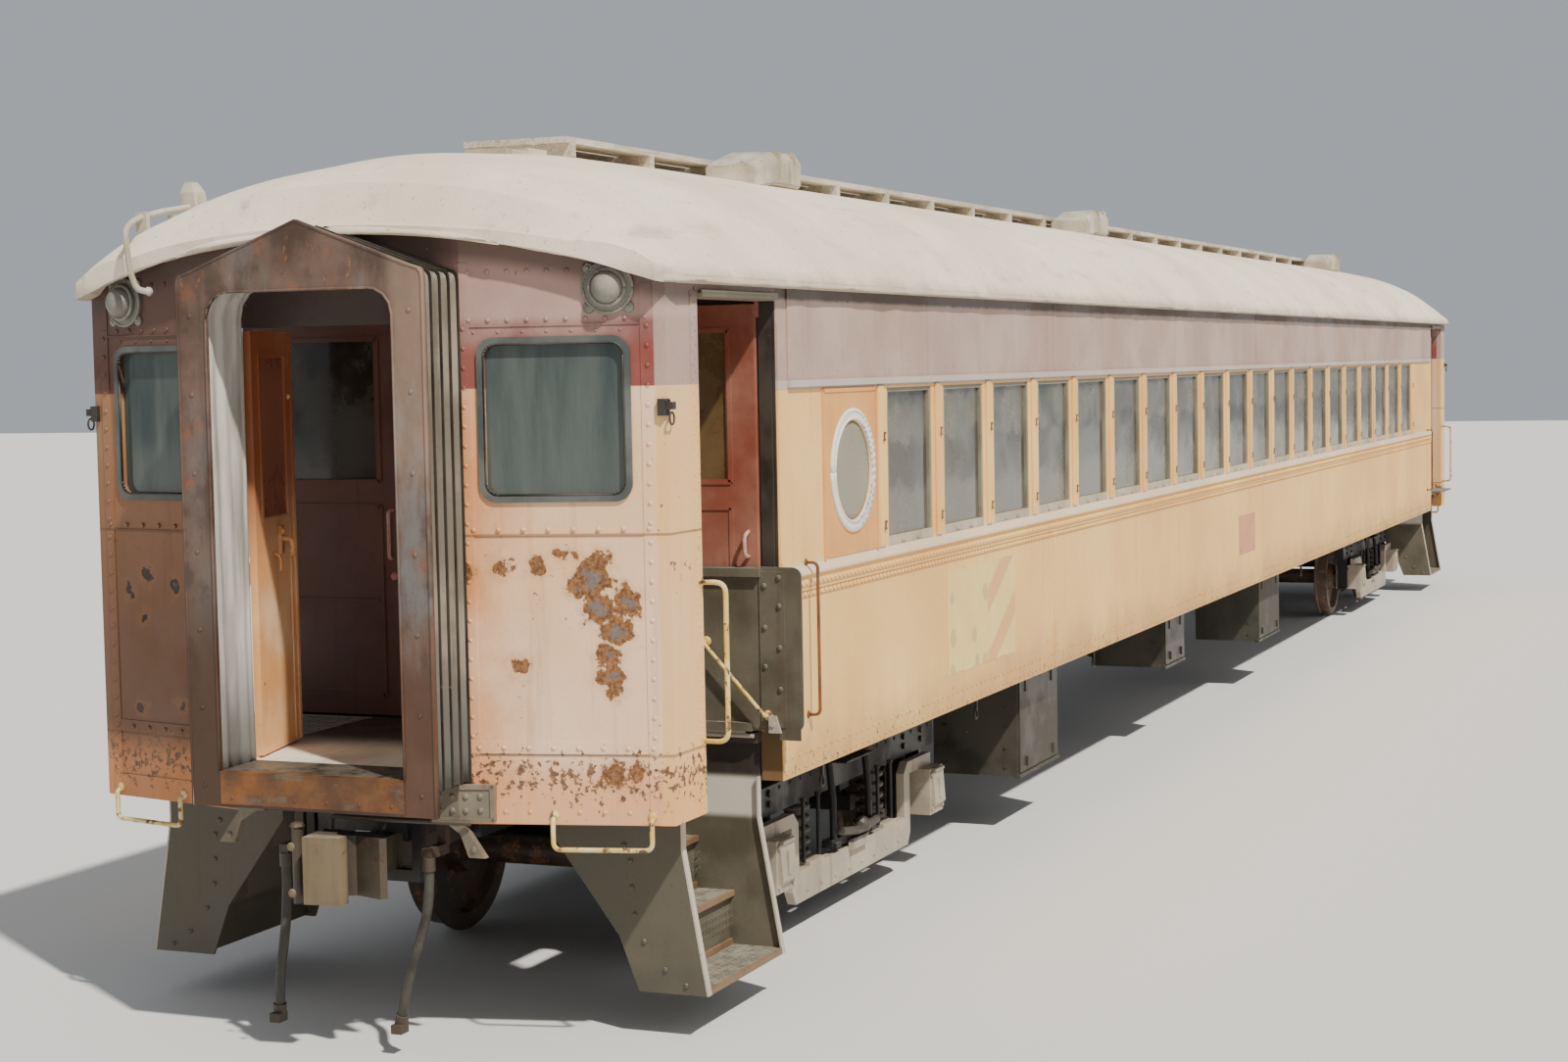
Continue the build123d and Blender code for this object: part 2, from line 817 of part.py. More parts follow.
# Wheelset: two flanged wheels, axle and journals, turning about +Y
def wheelset(x):
    inner = wheel_back_to_back / 2
    outer = inner + wheel_width
    web_mid = inner + wheel_width / 2
    flange_radius = tread_radius + flange_height
    profile = [
        (0, 0), (0, axle_radius), (web_mid - hub_length / 2, axle_radius), (web_mid - hub_length / 2, hub_radius),
        (web_mid - wheel_web / 2, hub_radius + 20), (web_mid - wheel_web / 2, tread_radius - wheel_rim - 15),
        (inner, tread_radius - wheel_rim), (inner, flange_radius - 6), (inner + 8, flange_radius),
        (inner + flange_thickness - 12, flange_radius - 4), (inner + flange_thickness, tread_radius + 2),
        (outer, tread_radius - 3), (outer, tread_radius - wheel_rim),
        (web_mid + wheel_web / 2, tread_radius - wheel_rim - 15), (web_mid + wheel_web / 2, hub_radius + 20),
        (web_mid + hub_length / 2, hub_radius), (web_mid + hub_length / 2 - 40, axle_radius),
        (web_mid + hub_length / 2 - 30, journal_radius + 8), (box_inner - 8, journal_radius),
        (journal_end, journal_radius), (journal_end, 0),
    ]
    half = revolve(Polygon(*profile, align=None), Axis.X)
    half = Rot(0, 0, 90) * half
    return Pos(x, 0, rail + tread_radius) * (half + right(half))


# Truck frame: side frames with pedestal jaws, transoms and brake shoes
def truck_frame(centre):
    pieces = []
    for side in (1, -1):
        y0 = frame_inner * side
        y1 = frame_outer * side
        pieces.append(block(centre - frame_half, centre + frame_half, y0, y1, frame_low, frame_high))
        for axle in (-1, 1):
            x = centre + axle * wheelbase / 2
            for edge in (-1, 1):
                near = x + edge * (box_half + jaw_gap)
                pieces.append(block(near, near + edge * jaw, y0, y1, jaw_low, frame_low + 5))
    for offset in (-transom_offset, transom_offset):
        x = centre + offset
        pieces.append(block(x - transom_half, x + transom_half, -frame_inner - 5, frame_inner + 5, bolster_low, bolster_high - 60))
    for axle in (-1, 1):
        shoe_x = centre + axle * (wheelbase / 2 - tread_radius - shoe_gap)
        beam_x = centre + axle * (wheelbase / 2 - tread_radius - flange_height - shoe_gap - 12)
        back_x = beam_x - axle * beam_depth
        reach = wheel_back_to_back / 2 + wheel_width - 8
        pieces.append(block(back_x, beam_x, -reach, reach, rail + 370, rail + 460))
        for side in (-1, 1):
            tread_y = side * (wheel_back_to_back / 2 + flange_thickness + 10)
            pieces.append(block(back_x + axle * 5, shoe_x, tread_y, side * reach, rail + 375, rail + 455))
        hang_x = centre + axle * (transom_offset + transom_half)
        for y in (-560, 520):
            pieces.append(block(back_x, hang_x - axle * 5, y, y + 40, rail + 400, rail + 600))
    return joined(pieces)


def truck_bolster(centre):
    beam = block(centre - bolster_half, centre + bolster_half, -1120, 1120, bolster_low + 40, bolster_high)
    side_cut = block(centre - bolster_half - 5, centre + bolster_half + 5, frame_inner - 20, 1130, bolster_low, frame_high + pivot_gap)
    plate = rod_z(centre, 0, centre_plate_radius, bolster_high - 5, centre_plate_top)
    return beam - side_cut - right(side_cut) + plate


def spring(x, y, z0, z1):
    turns = []
    pitch = (z1 - z0) / spring_turns
    for i in range(spring_turns):
        z = z0 + pitch * (i + 0.5)
        turns.append(Pos(x, y, z) * Torus(spring_radius - spring_wire, spring_wire))
    core = rod_z(x, y, spring_radius - 2 * spring_wire + 8, z0, z1)
    return joined([core, *turns])


def suspension(centre):
    pieces = []
    for side in (1, -1):
        y0 = equalizer_inner * side
        y1 = equalizer_outer * side
        half = equalizer_half
        end = wheelbase / 2 + box_half - 10
        high = box_high + 70
        depth = equalizer_depth
        outline = [
            (-half + 45, equalizer_low), (half - 45, equalizer_low), (half, equalizer_low + 70), (half, box_high),
            (end, box_high), (end, high), (half - 30, high), (half - equalizer_neck, high - 60),
            (half - equalizer_neck, equalizer_low + depth), (-half + equalizer_neck, equalizer_low + depth),
            (-half + equalizer_neck, high - 60), (-half + 30, high), (-end, high), (-end, box_high),
            (-half, box_high), (-half, equalizer_low + 70),
        ]
        pieces.append(prism_y([(centre + x, z) for x, z in outline], y0, y1))
        for offset in (-spring_x, spring_x):
            y = (frame_outer - 15) * side
            seat_z = equalizer_low + depth
            pieces.append(
                block(centre + offset - 100, centre + offset + 100, (frame_inner - 5) * side, y1, seat_z, seat_z + 22)
            )
            pieces.append(spring(centre + offset, (frame_outer - 45) * side, seat_z + 22, frame_low))
        for axle in (-1, 1):
            x = centre + axle * wheelbase / 2
            box = block(x - box_half, x + box_half, box_inner * side, box_outer * side, box_low, box_high)
            lid = prism_x(
                [((box_outer - 2) * side, box_low + 30), ((box_outer + 26) * side, box_low + 60),
                 ((box_outer + 14) * side, box_high - 25), ((box_outer - 2) * side, box_high - 10)],
                x - box_half + 25, x + box_half - 25,
            )
            bore = rod_y(x, rail + tread_radius, journal_radius + journal_clearance, (box_inner - 5) * side, (journal_end + 4) * side)
            pieces.append(box + lid - bore)
    return joined(pieces)


# Seats in rows on both sides of the aisle, and the heater duct along the wall
def seat(x):
    top = floor_top + seat_height
    base = block(x - 190, x + 190, seat_inner + 60, seat_outer - duct_width - wall_play, floor_top, floor_top + seat_frame)
    cushion = block(x - 235, x + 235, seat_inner, seat_outer, floor_top + seat_frame, top)
    back = prism_y(
        [(x - 235, top - 10), (x - 150, top - 10), (x - 205, floor_top + seat_back), (x - 270, floor_top + seat_back)],
        seat_inner, seat_outer,
    )
    return joined([base, cushion, back])


def seat_row():
    rows = [seat(at(seat_first + window_pitch * (i + 0.5))) for i in range(window_count)]
    duct_end = at(vestibule_length + bulkhead + 40)
    duct = block(-duct_end, duct_end, seat_outer - duct_width, seat_outer, floor_top, floor_top + duct_height)
    return [duct, *rows]


# Roof fittings
def crown_z(y):
    radius = crown_radius(roof_half_width, roof_crown - roof_eave)
    return roof_crown - radius + (radius**2 - y**2) ** 0.5


def walkway():
    last = body_length - walk_first
    top = roof_crown + walk_height
    boards = []
    for y in (-walk_half, -walk_half / 3 + 6, walk_half / 3 + 12):
        boards.append(block(at(walk_first), at(last), y, y + walk_half * 2 / 3 - 18, top - walk_thickness, top))
    count = int((last - walk_first) // saddle_pitch)
    for i in range(count + 1):
        x = at(walk_first + 60 + i * saddle_pitch)
        edge = crown_z(walk_half)
        saddle = block(x - saddle_width / 2, x + saddle_width / 2, -walk_half, walk_half, edge - 40, top - walk_thickness)
        boards.append(saddle)
    return joined(boards) - roof_cap()


def roof_cap():
    limit = at(walk_first - 400)
    return extrude(roof_section(-limit, roof_half_width, roof_crown, roof_eave, wall_top), amount=2 * limit)


def ventilators():
    boxes = []
    for first, last in vents:
        y0 = vent_offset
        y1 = vent_offset + vent_width
        top = crown_z(y0) + vent_height
        boxes.append(
            prism_x([(y0, crown_z(y1) - 60), (y1, crown_z(y1) - 60), (y1, top - 60), (y1 - 40, top), (y0, top)], at(first), at(last))
        )
    return [box - roof_cap() for box in boxes]


def marker_lamp():
    along = (lamp_y - panel_inner) / cos(radians(panel_turn))
    base = extrude(on_panel(along, lamp_z, 0) * Circle(108), amount=14)
    rim = extrude(on_panel(along, lamp_z, 12) * Circle(76), amount=22)
    dome = on_panel(along, lamp_z, 32) * Sphere(67)
    behind = panel_rect(along - 150, along + 150, lamp_z - 150, lamp_z + 150, 5, 0, 200)
    return joined([base, rim, dome]) - behind


# Box and conduit on the hood, and a flat repair slab beside the running board
def hood_conduit():
    y = -conduit_y
    box = block(at(460), at(580), y - 70, y + 70, conduit_z + 10, conduit_z + 220)
    pipe = rod((at(480), y, conduit_z + 60), (at(60), y, conduit_z), conduit_radius)
    drop = rod((at(-15), y, conduit_z), (at(-15), y + 66, conduit_z - 310), conduit_radius)
    over = rod((at(70), y, conduit_z), (at(-15), y, conduit_z), conduit_radius)
    slab = block(at(walk_first - 750), at(walk_first - 40), -20, 200, roof_crown - 200, roof_crown + slab_height)
    solid = roof_solid(0)
    return [box - solid, joined([pipe, over, drop]) - solid, slab - solid]


# Grab irons
def grab_irons():
    post_x = at(grab_station)
    low = rail + 1312
    high = rail + 2008
    pieces = [rod_z(post_x, grab_y, grab_radius, low - 2 * grab_radius, high + 2 * grab_radius)]
    pieces += [rod_y(post_x, z, grab_radius - 2, body_half_width, grab_y) for z in (low, high)]
    rod_at = at(thin_rod_station)
    thin_y = body_half_width + thin_rod_standoff
    low = rail + 1262
    high = rail + 1996
    pieces.append(rod_z(rod_at, thin_y, thin_rod_radius, low - 2 * thin_rod_radius, high + 2 * thin_rod_radius))
    pieces += [rod_y(rod_at, z, thin_rod_radius - 2, body_half_width, thin_y) for z in (low, high)]
    return [joined(pieces[:3]), joined(pieces[3:])]


def panel_grab():
    foot_z = sheet_bottom + 40
    ends = [on_panel(along, panel_grab_low, 30).position for along in (panel_grab_in, panel_grab_out)]
    pieces = [rod_z(spot.X, spot.Y, grab_radius, panel_grab_low - 15, foot_z + 15) for spot in ends]
    feet = [on_panel(along, foot_z, 0) for along in (panel_grab_in, panel_grab_out)]
    pieces += [extrude(foot * Circle(grab_radius - 2), amount=35) for foot in feet]
    start = on_panel(panel_grab_in - 15, panel_grab_low, 30).position
    finish = on_panel(panel_grab_out + 15, panel_grab_low, 30).position
    pieces.append(rod(tuple(start), tuple(finish), grab_radius - 1))
    return joined(pieces)


# Air hoses hanging below the near end, with their fittings and a short chain
def hose(points):
    corners = [Vector(*point) for point in points]
    radii = []
    for before, corner, after in zip(corners, corners[1:], corners[2:]):
        first = corner - before
        second = after - corner
        turn = radians(first.get_angle(second))
        radii.append(0.45 * min(first.length, second.length) / tan(turn / 2))
    path = FilletPolyline(*points, radius=radii)
    print("hose radii", [round(radius) for radius in radii], "length", round(path.length))
    ring = Plane(origin=path @ 0, z_dir=path % 0) * Circle(hose_radius)
    return sweep(ring, path=path)


def hose_cock(route):
    x, y, z = route[0]
    cock = rod_z(x, y, hose_radius + hose_collar, z, z + 60)
    pipe = block(x + 20, at(100), y - hose_radius, y + hose_radius, z + 55, z + 100)
    hanger = block(at(70), at(110), y - hose_radius, y + hose_radius, z + 90, sheet_bottom + 10)
    return joined([cock, pipe, hanger])


def hose_head(route):
    end = Vector(*route[-1])
    fall = (end - Vector(*route[-2])).normalized()
    low = end + fall * hose_collar_length
    collar = rod(tuple(end), tuple(low), hose_radius + hose_collar)
    return collar + block(low.X - 20, low.X + 45, low.Y - 26, low.Y + 26, low.Z - 35, low.Z + 5)


# Equipment under the floor: boxes, a reservoir, a brake cylinder and rods
def equipment_boxes():
    pieces = []
    inner = equipment_outer - equipment_depth
    for first, last, low in equipment:
        box = [block(at(first), at(last), inner, equipment_outer, low, side_sill_low - 60)]
        for station in (first + 70, last - 70):
            x = at(station)
            box.append(block(x - 20, x + 20, inner + 60, side_sill_inner, side_sill_low - 65, floor_low))
        pieces.append(joined(box))
    return pieces


def brake_gear():
    reservoir = rod_x(-700, rail + 620, 190, at(8100), at(9250))
    cylinder = rod_x(420, rail + 640, 165, at(10700), at(11300))
    pieces = [reservoir, cylinder]
    for station in (8300.0, 9050.0):
        pieces.append(block(at(station) - 20, at(station) + 20, -760, -640, rail + 780, floor_low))
    for station in (10800.0, 11200.0):
        pieces.append(block(at(station) - 20, at(station) + 20, 360, 480, rail + 780, floor_low))
    pieces.append(rod_x(420, rail + 640, 22, at(10705), at(5600)))
    pieces.append(block(at(5560), at(5620), 360, 460, rail + 600, floor_low))
    return [joined([pieces[0], pieces[2], pieces[3]]), joined([pieces[1], pieces[4], pieces[5], pieces[6], pieces[7]])]


# The pieces in place
near_half_end = end_structure()
near_plate = face_plate()
near_bellows = bellows()
near_stairs = stairwell()
near_lamp = marker_lamp()
near_boxes = equipment_boxes()
bolster = truck_bolster(at(truck_station))
truck = truck_frame(at(truck_station))
near_truck = joined([truck, bolster])
near_springs = suspension(at(truck_station))
left_wall = side_wall()
left_glass = side_glass()
near_end_glass = end_glass()
near_end_rim = end_window_rim()
round_rim = round_window_rim()
left_trap = trap_lowered()
left_door = side_door_closed()
left_leaf = leaf_opened(end_leaf_closed())
open_door = door_opened(left_door)
left_seats = seat_row()
lit_grabs = grab_irons()
low_grab = panel_grab()
frame_body = underframe() - draft_slot() - far(draft_slot()) + buffer_beam() + draft_gear()
frame_body = frame_body + far(buffer_beam() + draft_gear())
bracket = end_bracket()
brackets = [bracket, right(bracket)]

parts = {
    "underframe": [frame_body],
    "end_brackets": brackets,
    "floor": [floor_slab()],
    "side_wall_left": [left_wall],
    "side_wall_right": [right(left_wall)],
    "end_wall_near": [near_half_end],
    "end_wall_far": [far(near_half_end)],
    "bulkhead_near": [partition()],
    "bulkhead_far": [far(partition())],
    "roof": [roof],
    "side_glass_left": left_glass,
    "side_glass_right": [right(pane) for pane in left_glass],
    "end_glass": [near_end_glass, right(near_end_glass), far(near_end_glass), far(right(near_end_glass))],
    "end_window_frames": [near_end_rim, right(near_end_rim), far(near_end_rim), far(right(near_end_rim))],
    "round_window_frames": [round_rim, right(round_rim)],
    "diaphragm_plate_near": [near_plate],
    "diaphragm_plate_far": [far(near_plate)],
    "bellows_near": [near_bellows - roof],
    "bellows_far": [far(near_bellows - roof)],
    "coupler_near": [turned_coupler(coupler_swing)],
    "coupler_far": [far(turned_coupler(coupler_swing))],
    "steps_near": [near_stairs, right(near_stairs)],
    "steps_far": [far(near_stairs), far(right(near_stairs))],
    "trap_near_left": [raised(left_trap)],
    "trap_near_right": [right(left_trap)],
    "trap_far_left": [far(left_trap)],
    "trap_far_right": [far(right(left_trap))],
    "side_door_near_left": [open_door],
    "side_door_near_right": [right(open_door)],
    "side_door_far_left": [far(open_door)],
    "side_door_far_right": [far(right(open_door))],
    "end_door_near_left": [left_leaf],
    "end_door_near_right": [right(left_leaf)],
    "end_door_far_left": [far(left_leaf)],
    "end_door_far_right": [far(right(left_leaf))],
    "grab_irons": [low_grab, right(low_grab), far(low_grab), far(right(low_grab))],
    "roof_walkway": [walkway()],
    "roof_ventilators": ventilators(),
    "roof_conduit": hood_conduit(),
    "marker_lamps": [near_lamp, right(near_lamp)],
    "equipment_boxes": near_boxes,
    "brake_gear": brake_gear(),
    "seats_left": left_seats,
    "seats_right": [right(piece) for piece in left_seats],
    "truck_frame_near": [near_truck],
    "truck_frame_far": [far(near_truck)],
    "truck_springs_near": near_springs,
    "truck_springs_far": [far(piece) for piece in near_springs],
    "hose_one": [hose(hose_one)],
    "hose_two": [hose(hose_two)],
    "hose_cocks": [hose_cock(hose_one), hose_cock(hose_two)],
    "hose_head_one": [hose_head(hose_one)],
    "hose_head_two": [hose_head(hose_two)],
}
for post in lit_grabs:
    parts["grab_irons"] += [post, right(post), far(post), far(right(post))]
for truck_name, centre in (("near", at(truck_station)), ("far", -at(truck_station))):
    for axle_name, side in (("outer", 1), ("inner", -1)):
        x = centre + side * (wheelbase / 2) * (1 if centre > 0 else -1)
        parts[f"wheelset_{truck_name}_{axle_name}"] = [wheelset(x)]

os.makedirs("parts", exist_ok=True)
for name, solids in parts.items():
    export_step(Compound(children=solids), f"parts/{name}.step")
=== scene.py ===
import json
from math import cos, hypot, pi, radians, sin, sqrt
import bmesh
import bpy
from mathutils import Matrix, Vector, noise


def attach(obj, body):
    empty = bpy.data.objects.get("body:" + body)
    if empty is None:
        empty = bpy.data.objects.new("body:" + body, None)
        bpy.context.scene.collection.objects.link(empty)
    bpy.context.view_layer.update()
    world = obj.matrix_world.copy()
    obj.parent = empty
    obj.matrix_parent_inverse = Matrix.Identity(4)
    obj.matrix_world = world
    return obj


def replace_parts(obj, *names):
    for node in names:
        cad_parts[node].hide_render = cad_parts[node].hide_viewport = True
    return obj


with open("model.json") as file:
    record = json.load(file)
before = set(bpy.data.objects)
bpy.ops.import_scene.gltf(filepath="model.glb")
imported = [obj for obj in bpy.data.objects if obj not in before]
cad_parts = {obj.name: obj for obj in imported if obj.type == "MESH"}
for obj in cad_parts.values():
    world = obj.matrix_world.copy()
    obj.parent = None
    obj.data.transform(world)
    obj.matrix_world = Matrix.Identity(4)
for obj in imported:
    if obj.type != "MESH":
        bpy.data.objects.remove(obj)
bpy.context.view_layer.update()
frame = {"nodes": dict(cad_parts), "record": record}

nodes = frame["nodes"]
noise.seed_set(5)

# The car, in metres: heights stand on the flange tips, stations run back from an end sheet
RAIL = 0.028
HALF = 11.95
SIDE = 1.47
FLOOR = RAIL + 1.222
SHEET_LOW = RAIL + 0.989
BELT_LOW = RAIL + 1.865
BELT_HIGH = RAIL + 1.935
LETTERBOARD = RAIL + 2.838
EAVE = RAIL + 3.30
WINDOW_LOW = RAIL + 1.99
WINDOW_HIGH = RAIL + 2.815
WINDOW_PITCH = 0.9073
FIRST_POST = 2.7996
WINDOW_COUNT = 20
VESTIBULE = 1.4116
TRUCK = 3.35
PANEL_IN = 0.5726
PANEL_OUT = 1.4178
PANEL_SLOPE = 0.2307


def at(station):
    return HALF - station


# Camera at the photograph's place, from a fit on the car's straight edges
def place_camera():
    yaw, pitch, roll = 0.3928, -0.066, -0.0186
    forward = Vector((-cos(yaw) * cos(pitch), -sin(yaw) * cos(pitch), sin(pitch)))
    across = forward.cross(Vector((0, 0, 1))).normalized()
    above = across.cross(forward)
    right = cos(roll) * across + sin(roll) * above
    up = cos(roll) * above - sin(roll) * across
    data = bpy.data.cameras.new("camera")
    data.lens = 57.74
    data.sensor_width = 36
    data.clip_end = 300
    camera = bpy.data.objects.new("camera", data)
    bpy.context.scene.collection.objects.link(camera)
    turn = Matrix((right, up, -forward)).transposed().to_4x4()
    camera.matrix_world = Matrix.Translation((21.3635, 5.9803, 2.9718)) @ turn
    bpy.context.scene.camera = camera


place_camera()


# Shader boards: values that can be reckoned with like numbers
def tone(colour):
    """A screen colour in the shader's own values."""
    return (*((value / 255) ** 2.2 for value in colour), 1)


def reckon(operation, swapped=False):
    def work(value, other=0.0):
        return value.board.math(operation, *((other, value) if swapped else (value, other)))

    return work


class Value:
    """A value on a board, with its sums."""

    __add__ = reckon("ADD")
    __sub__ = reckon("SUBTRACT")
    __rsub__ = reckon("SUBTRACT", swapped=True)
    __mul__ = reckon("MULTIPLY")
    __pow__ = reckon("POWER")
    __abs__ = reckon("ABSOLUTE")
    __lt__ = reckon("LESS_THAN")
    __gt__ = reckon("GREATER_THAN")

    def __init__(self, board, socket):
        self.board = board
        self.socket = socket

    def spread(self, low, high, out_low=0.0, out_high=1.0):
        """Runs smoothly from one value to another between two levels."""
        node = self.board.add("MapRange", clamp=True, interpolation_type="SMOOTHSTEP")
        ends = ("Value", "From Min", "From Max", "To Min", "To Max")
        self.board.fill(node, ends, self, low, high, out_low, out_high)
        return Value(self.board, node.outputs["Result"])


class Board:
    """A node tree with short calls for adding and linking nodes."""

    def __init__(self, tree):
        self.tree = tree

    def add(self, kind, **settings):
        node = self.tree.nodes.new(f"ShaderNode{kind}")
        for name, value in settings.items():
            setattr(node, name, value)
        return node

    def wire(self, source, target):
        """Links a value, or sets a number, a screen colour or a shader colour."""
        if isinstance(source, Value):
            self.tree.links.new(source.socket, target)
        elif isinstance(source, tuple) and len(source) == 3:
            target.default_value = tone(source)
        else:
            target.default_value = source

    def fill(self, node, labels, *values):
        for label, value in zip(labels, values):
            self.wire(value, node.inputs[label])

    def math(self, operation, first, second=0.0):
        node = self.add("Math", operation=operation)
        self.fill(node, (0, 1), first, second)
        return Value(self, node.outputs[0])

    def mix(self, mask, first, second):
        node = self.add("Mix", data_type="RGBA", clamp_factor=True)
        self.fill(node, (0, 6, 7), mask, first, second)
        return Value(self, node.outputs[2])

    def coords(self):
        return Value(self, self.add("TexCoord").outputs["Object"])

    def parts(self, vector):
        node = self.add("SeparateXYZ")
        self.wire(vector, node.inputs[0])
        return [Value(self, out) for out in node.outputs]

    def where(self):
        return self.parts(self.coords())

    def noise(self, scale, detail, rough, stretch=None):
        coords = self.coords()
        if stretch:
            mapping = self.add("Mapping")
            mapping.inputs["Scale"].default_value = stretch
            self.wire(coords, mapping.inputs["Vector"])
            coords = Value(self, mapping.outputs[0])
        node = self.add("TexNoise")
        self.fill(node, ("Vector", "Scale", "Detail", "Roughness"), coords, scale, detail, rough)
        return Value(self, node.outputs["Fac"])


# Shader groups shared by the finishes
def effect(name, inputs, outputs):
    """A group's board, the values given to it and the sockets that leave it."""
    group = bpy.data.node_groups.new(name, "ShaderNodeTree")
    for label, value in inputs.items():
        kind = "NodeSocketColor" if isinstance(value, tuple) else "NodeSocketFloat"
        group.interface.new_socket(label, in_out="INPUT", socket_type=kind).default_value = value
    for label in outputs:
        kind = "NodeSocketColor" if label == "Color" else "NodeSocketFloat"
        group.interface.new_socket(label, in_out="OUTPUT", socket_type=kind)
    board = Board(group)
    given = group.nodes.new("NodeGroupInput").outputs[: len(inputs)]
    return board, [Value(board, socket) for socket in given], group.nodes.new("NodeGroupOutput").inputs


def make_weathered():
    looks = {"Fresh": (0.5, 0.3, 0.2, 1), "Faded": (0.6, 0.4, 0.3, 1), "Grime": (0.1, 0.08, 0.06, 1)}
    looks.update({"Fade Size": 1.2, "Streaks": 0.3, "Speckle": 0.3})
    board, given, out = effect("weathered_paint", looks, ("Color", "Roughness", "Height"))
    fresh, faded, grime, size, streaks, speckle = given
    patches = board.noise(size, 6, 0.6).spread(0.35, 0.65)
    colour = board.mix(patches, fresh, faded)
    runs = board.noise(2.0, 6, 0.65, (5.5, 5.5, 0.35))
    colour = board.mix(runs.spread(0.52, 0.75) * streaks, colour, grime)
    fine = board.noise(42.0, 5, 0.7)
    colour = board.mix(fine.spread(0.56, 0.74) * speckle, colour, grime)
    board.wire(colour, out["Color"])
    board.wire(patches.spread(0.0, 1.0, 0.42, 0.72), out["Roughness"])
    board.wire(fine * 0.4, out["Height"])


def make_rust():
    looks = {"Size": 6.0, "Amount": 0.2, "Level": 0.0, "Reach": 0.3, "Extra": 0.0}
    board, given, out = effect("rust_chips", looks, ("Mask", "Color", "Height"))
    size, amount, level, reach, extra = given
    x, y, z = board.where()
    nearness = abs(z - level).spread(0.0, reach, 1.0, 0.0)
    edge = 0.86 - (amount + nearness * extra)
    mask = board.noise(size, 8, 0.62).spread(edge, edge + 0.035)
    tint = board.noise(55.0, 4, 0.7)
    board.wire(mask, out["Mask"])
    browns = board.mix(tint.spread(0.35, 0.7), (0.11, 0.052, 0.026, 1), (0.30, 0.15, 0.07, 1))
    board.wire(browns, out["Color"])
    board.wire(mask * (tint - 0.9), out["Height"])


def make_dirt():
    looks = {"Level": 0.0, "Depth": 0.5, "Amount": 0.5}
    board, (level, depth, amount), out = effect("settled_dirt", looks, ("Mask",))
    x, y, z = board.where()
    height = z + (board.noise(3.2, 6, 0.65) - 0.5) * 0.5
    board.wire(height.spread(level, level + depth, 1.0, 0.0) * amount, out["Mask"])


def make_upward():
    board, (cover,), out = effect("lies_upward", {"Cover": 0.6}, ("Mask",))
    x, y, z = board.parts(Value(board, board.add("NewGeometry").outputs["Normal"]))
    cloud = board.noise(14.0, 6, 0.7).spread(0.25, 0.65) * cover
    board.wire(z.spread(0.55, 0.95) * cloud, out["Mask"])


make_weathered()
make_rust()
make_dirt()
make_upward()
finishes = {}


class Finish(Board):
    """A material with its Principled shader, built up in coats of colour."""

    def __init__(self, name, rough=0.6):
        self.name = name
        self.material = bpy.data.materials.new(name)
        self.material.use_nodes = True
        super().__init__(self.material.node_tree)
        self.shader = self.tree.nodes["Principled BSDF"].inputs
        self.shader["Roughness"].default_value = rough
        self.colour = None
        self.height = None

    def use(self, name, *values):
        node = self.add("Group")
        node.node_tree = bpy.data.node_groups[name]
        self.fill(node, range(len(values)), *values)
        return {out.name: Value(self, out) for out in node.outputs}

    def coat(self, mask, colour):
        self.colour = self.mix(mask, self.colour, colour)
        return self

    def mottle(self, colour, share, low, high, *grain):
        """Blots of another colour."""
        return self.coat(self.noise(*grain).spread(low, high, 0.0, share), colour)

    def layer(self, fresh, faded, grime=(0.09, 0.06, 0.05, 1), size=1.6, streaks=0.5, speckle=0.3):
        return self.use("weathered_paint", fresh, faded, grime, size, streaks, speckle)

    def paint(self, *looks):
        coat = self.layer(*looks)
        self.colour = coat["Color"]
        self.height = coat["Height"]
        self.wire(coat["Roughness"], self.shader["Roughness"])
        return self

    def chips(self, size, amount, level=0.0, reach=0.3, extra=0.0):
        coat = self.use("rust_chips", size, amount, level, reach, extra)
        self.height += coat["Height"]
        return self.coat(coat["Mask"], coat["Color"])

    def dirt(self, colour, level, depth, amount):
        return self.coat(self.use("settled_dirt", level, depth, amount)["Mask"], colour)

    def dust(self, colour, cover):
        return self.coat(self.use("lies_upward", cover)["Mask"], colour)

    def done(self, depth=0.003, strength=0.5):
        self.wire(self.colour, self.shader["Base Color"])
        if self.height:
            bump = self.add("Bump")
            self.fill(bump, ("Distance", "Strength", "Height"), depth, strength, self.height)
            self.wire(Value(self, bump.outputs[0]), self.shader["Normal"])
        finishes[self.name] = self.material


ORANGE = (222, 146, 92)
ORANGE_PALE = (232, 176, 128)
CREAM = (242, 194, 148)
CREAM_PALE = (246, 208, 172)
TAN = (239, 182, 100)
TAN_PALE = (249, 204, 128)
MAROON = (128, 80, 74)
MAROON_PALE = (170, 134, 124)
MAROON_FRESH = (136, 56, 44)
MAUVE = (172, 144, 130)
MAUVE_PALE = (188, 162, 148)
RUST_DARK = (96, 62, 36)
RUST_LIGHT = (158, 108, 62)
BARE_STEEL = (108, 112, 116)
# SOOT_AND_SHADE is soot in the inside paint's grime, and elsewhere painted shade.
SOOT_AND_SHADE = (40, 36, 33)
BROWN_RUN = (128, 90, 58)
BROWN_GRIME = (84, 62, 46)
RED_GRIME = (110, 62, 36)
DUST = (168, 156, 138)


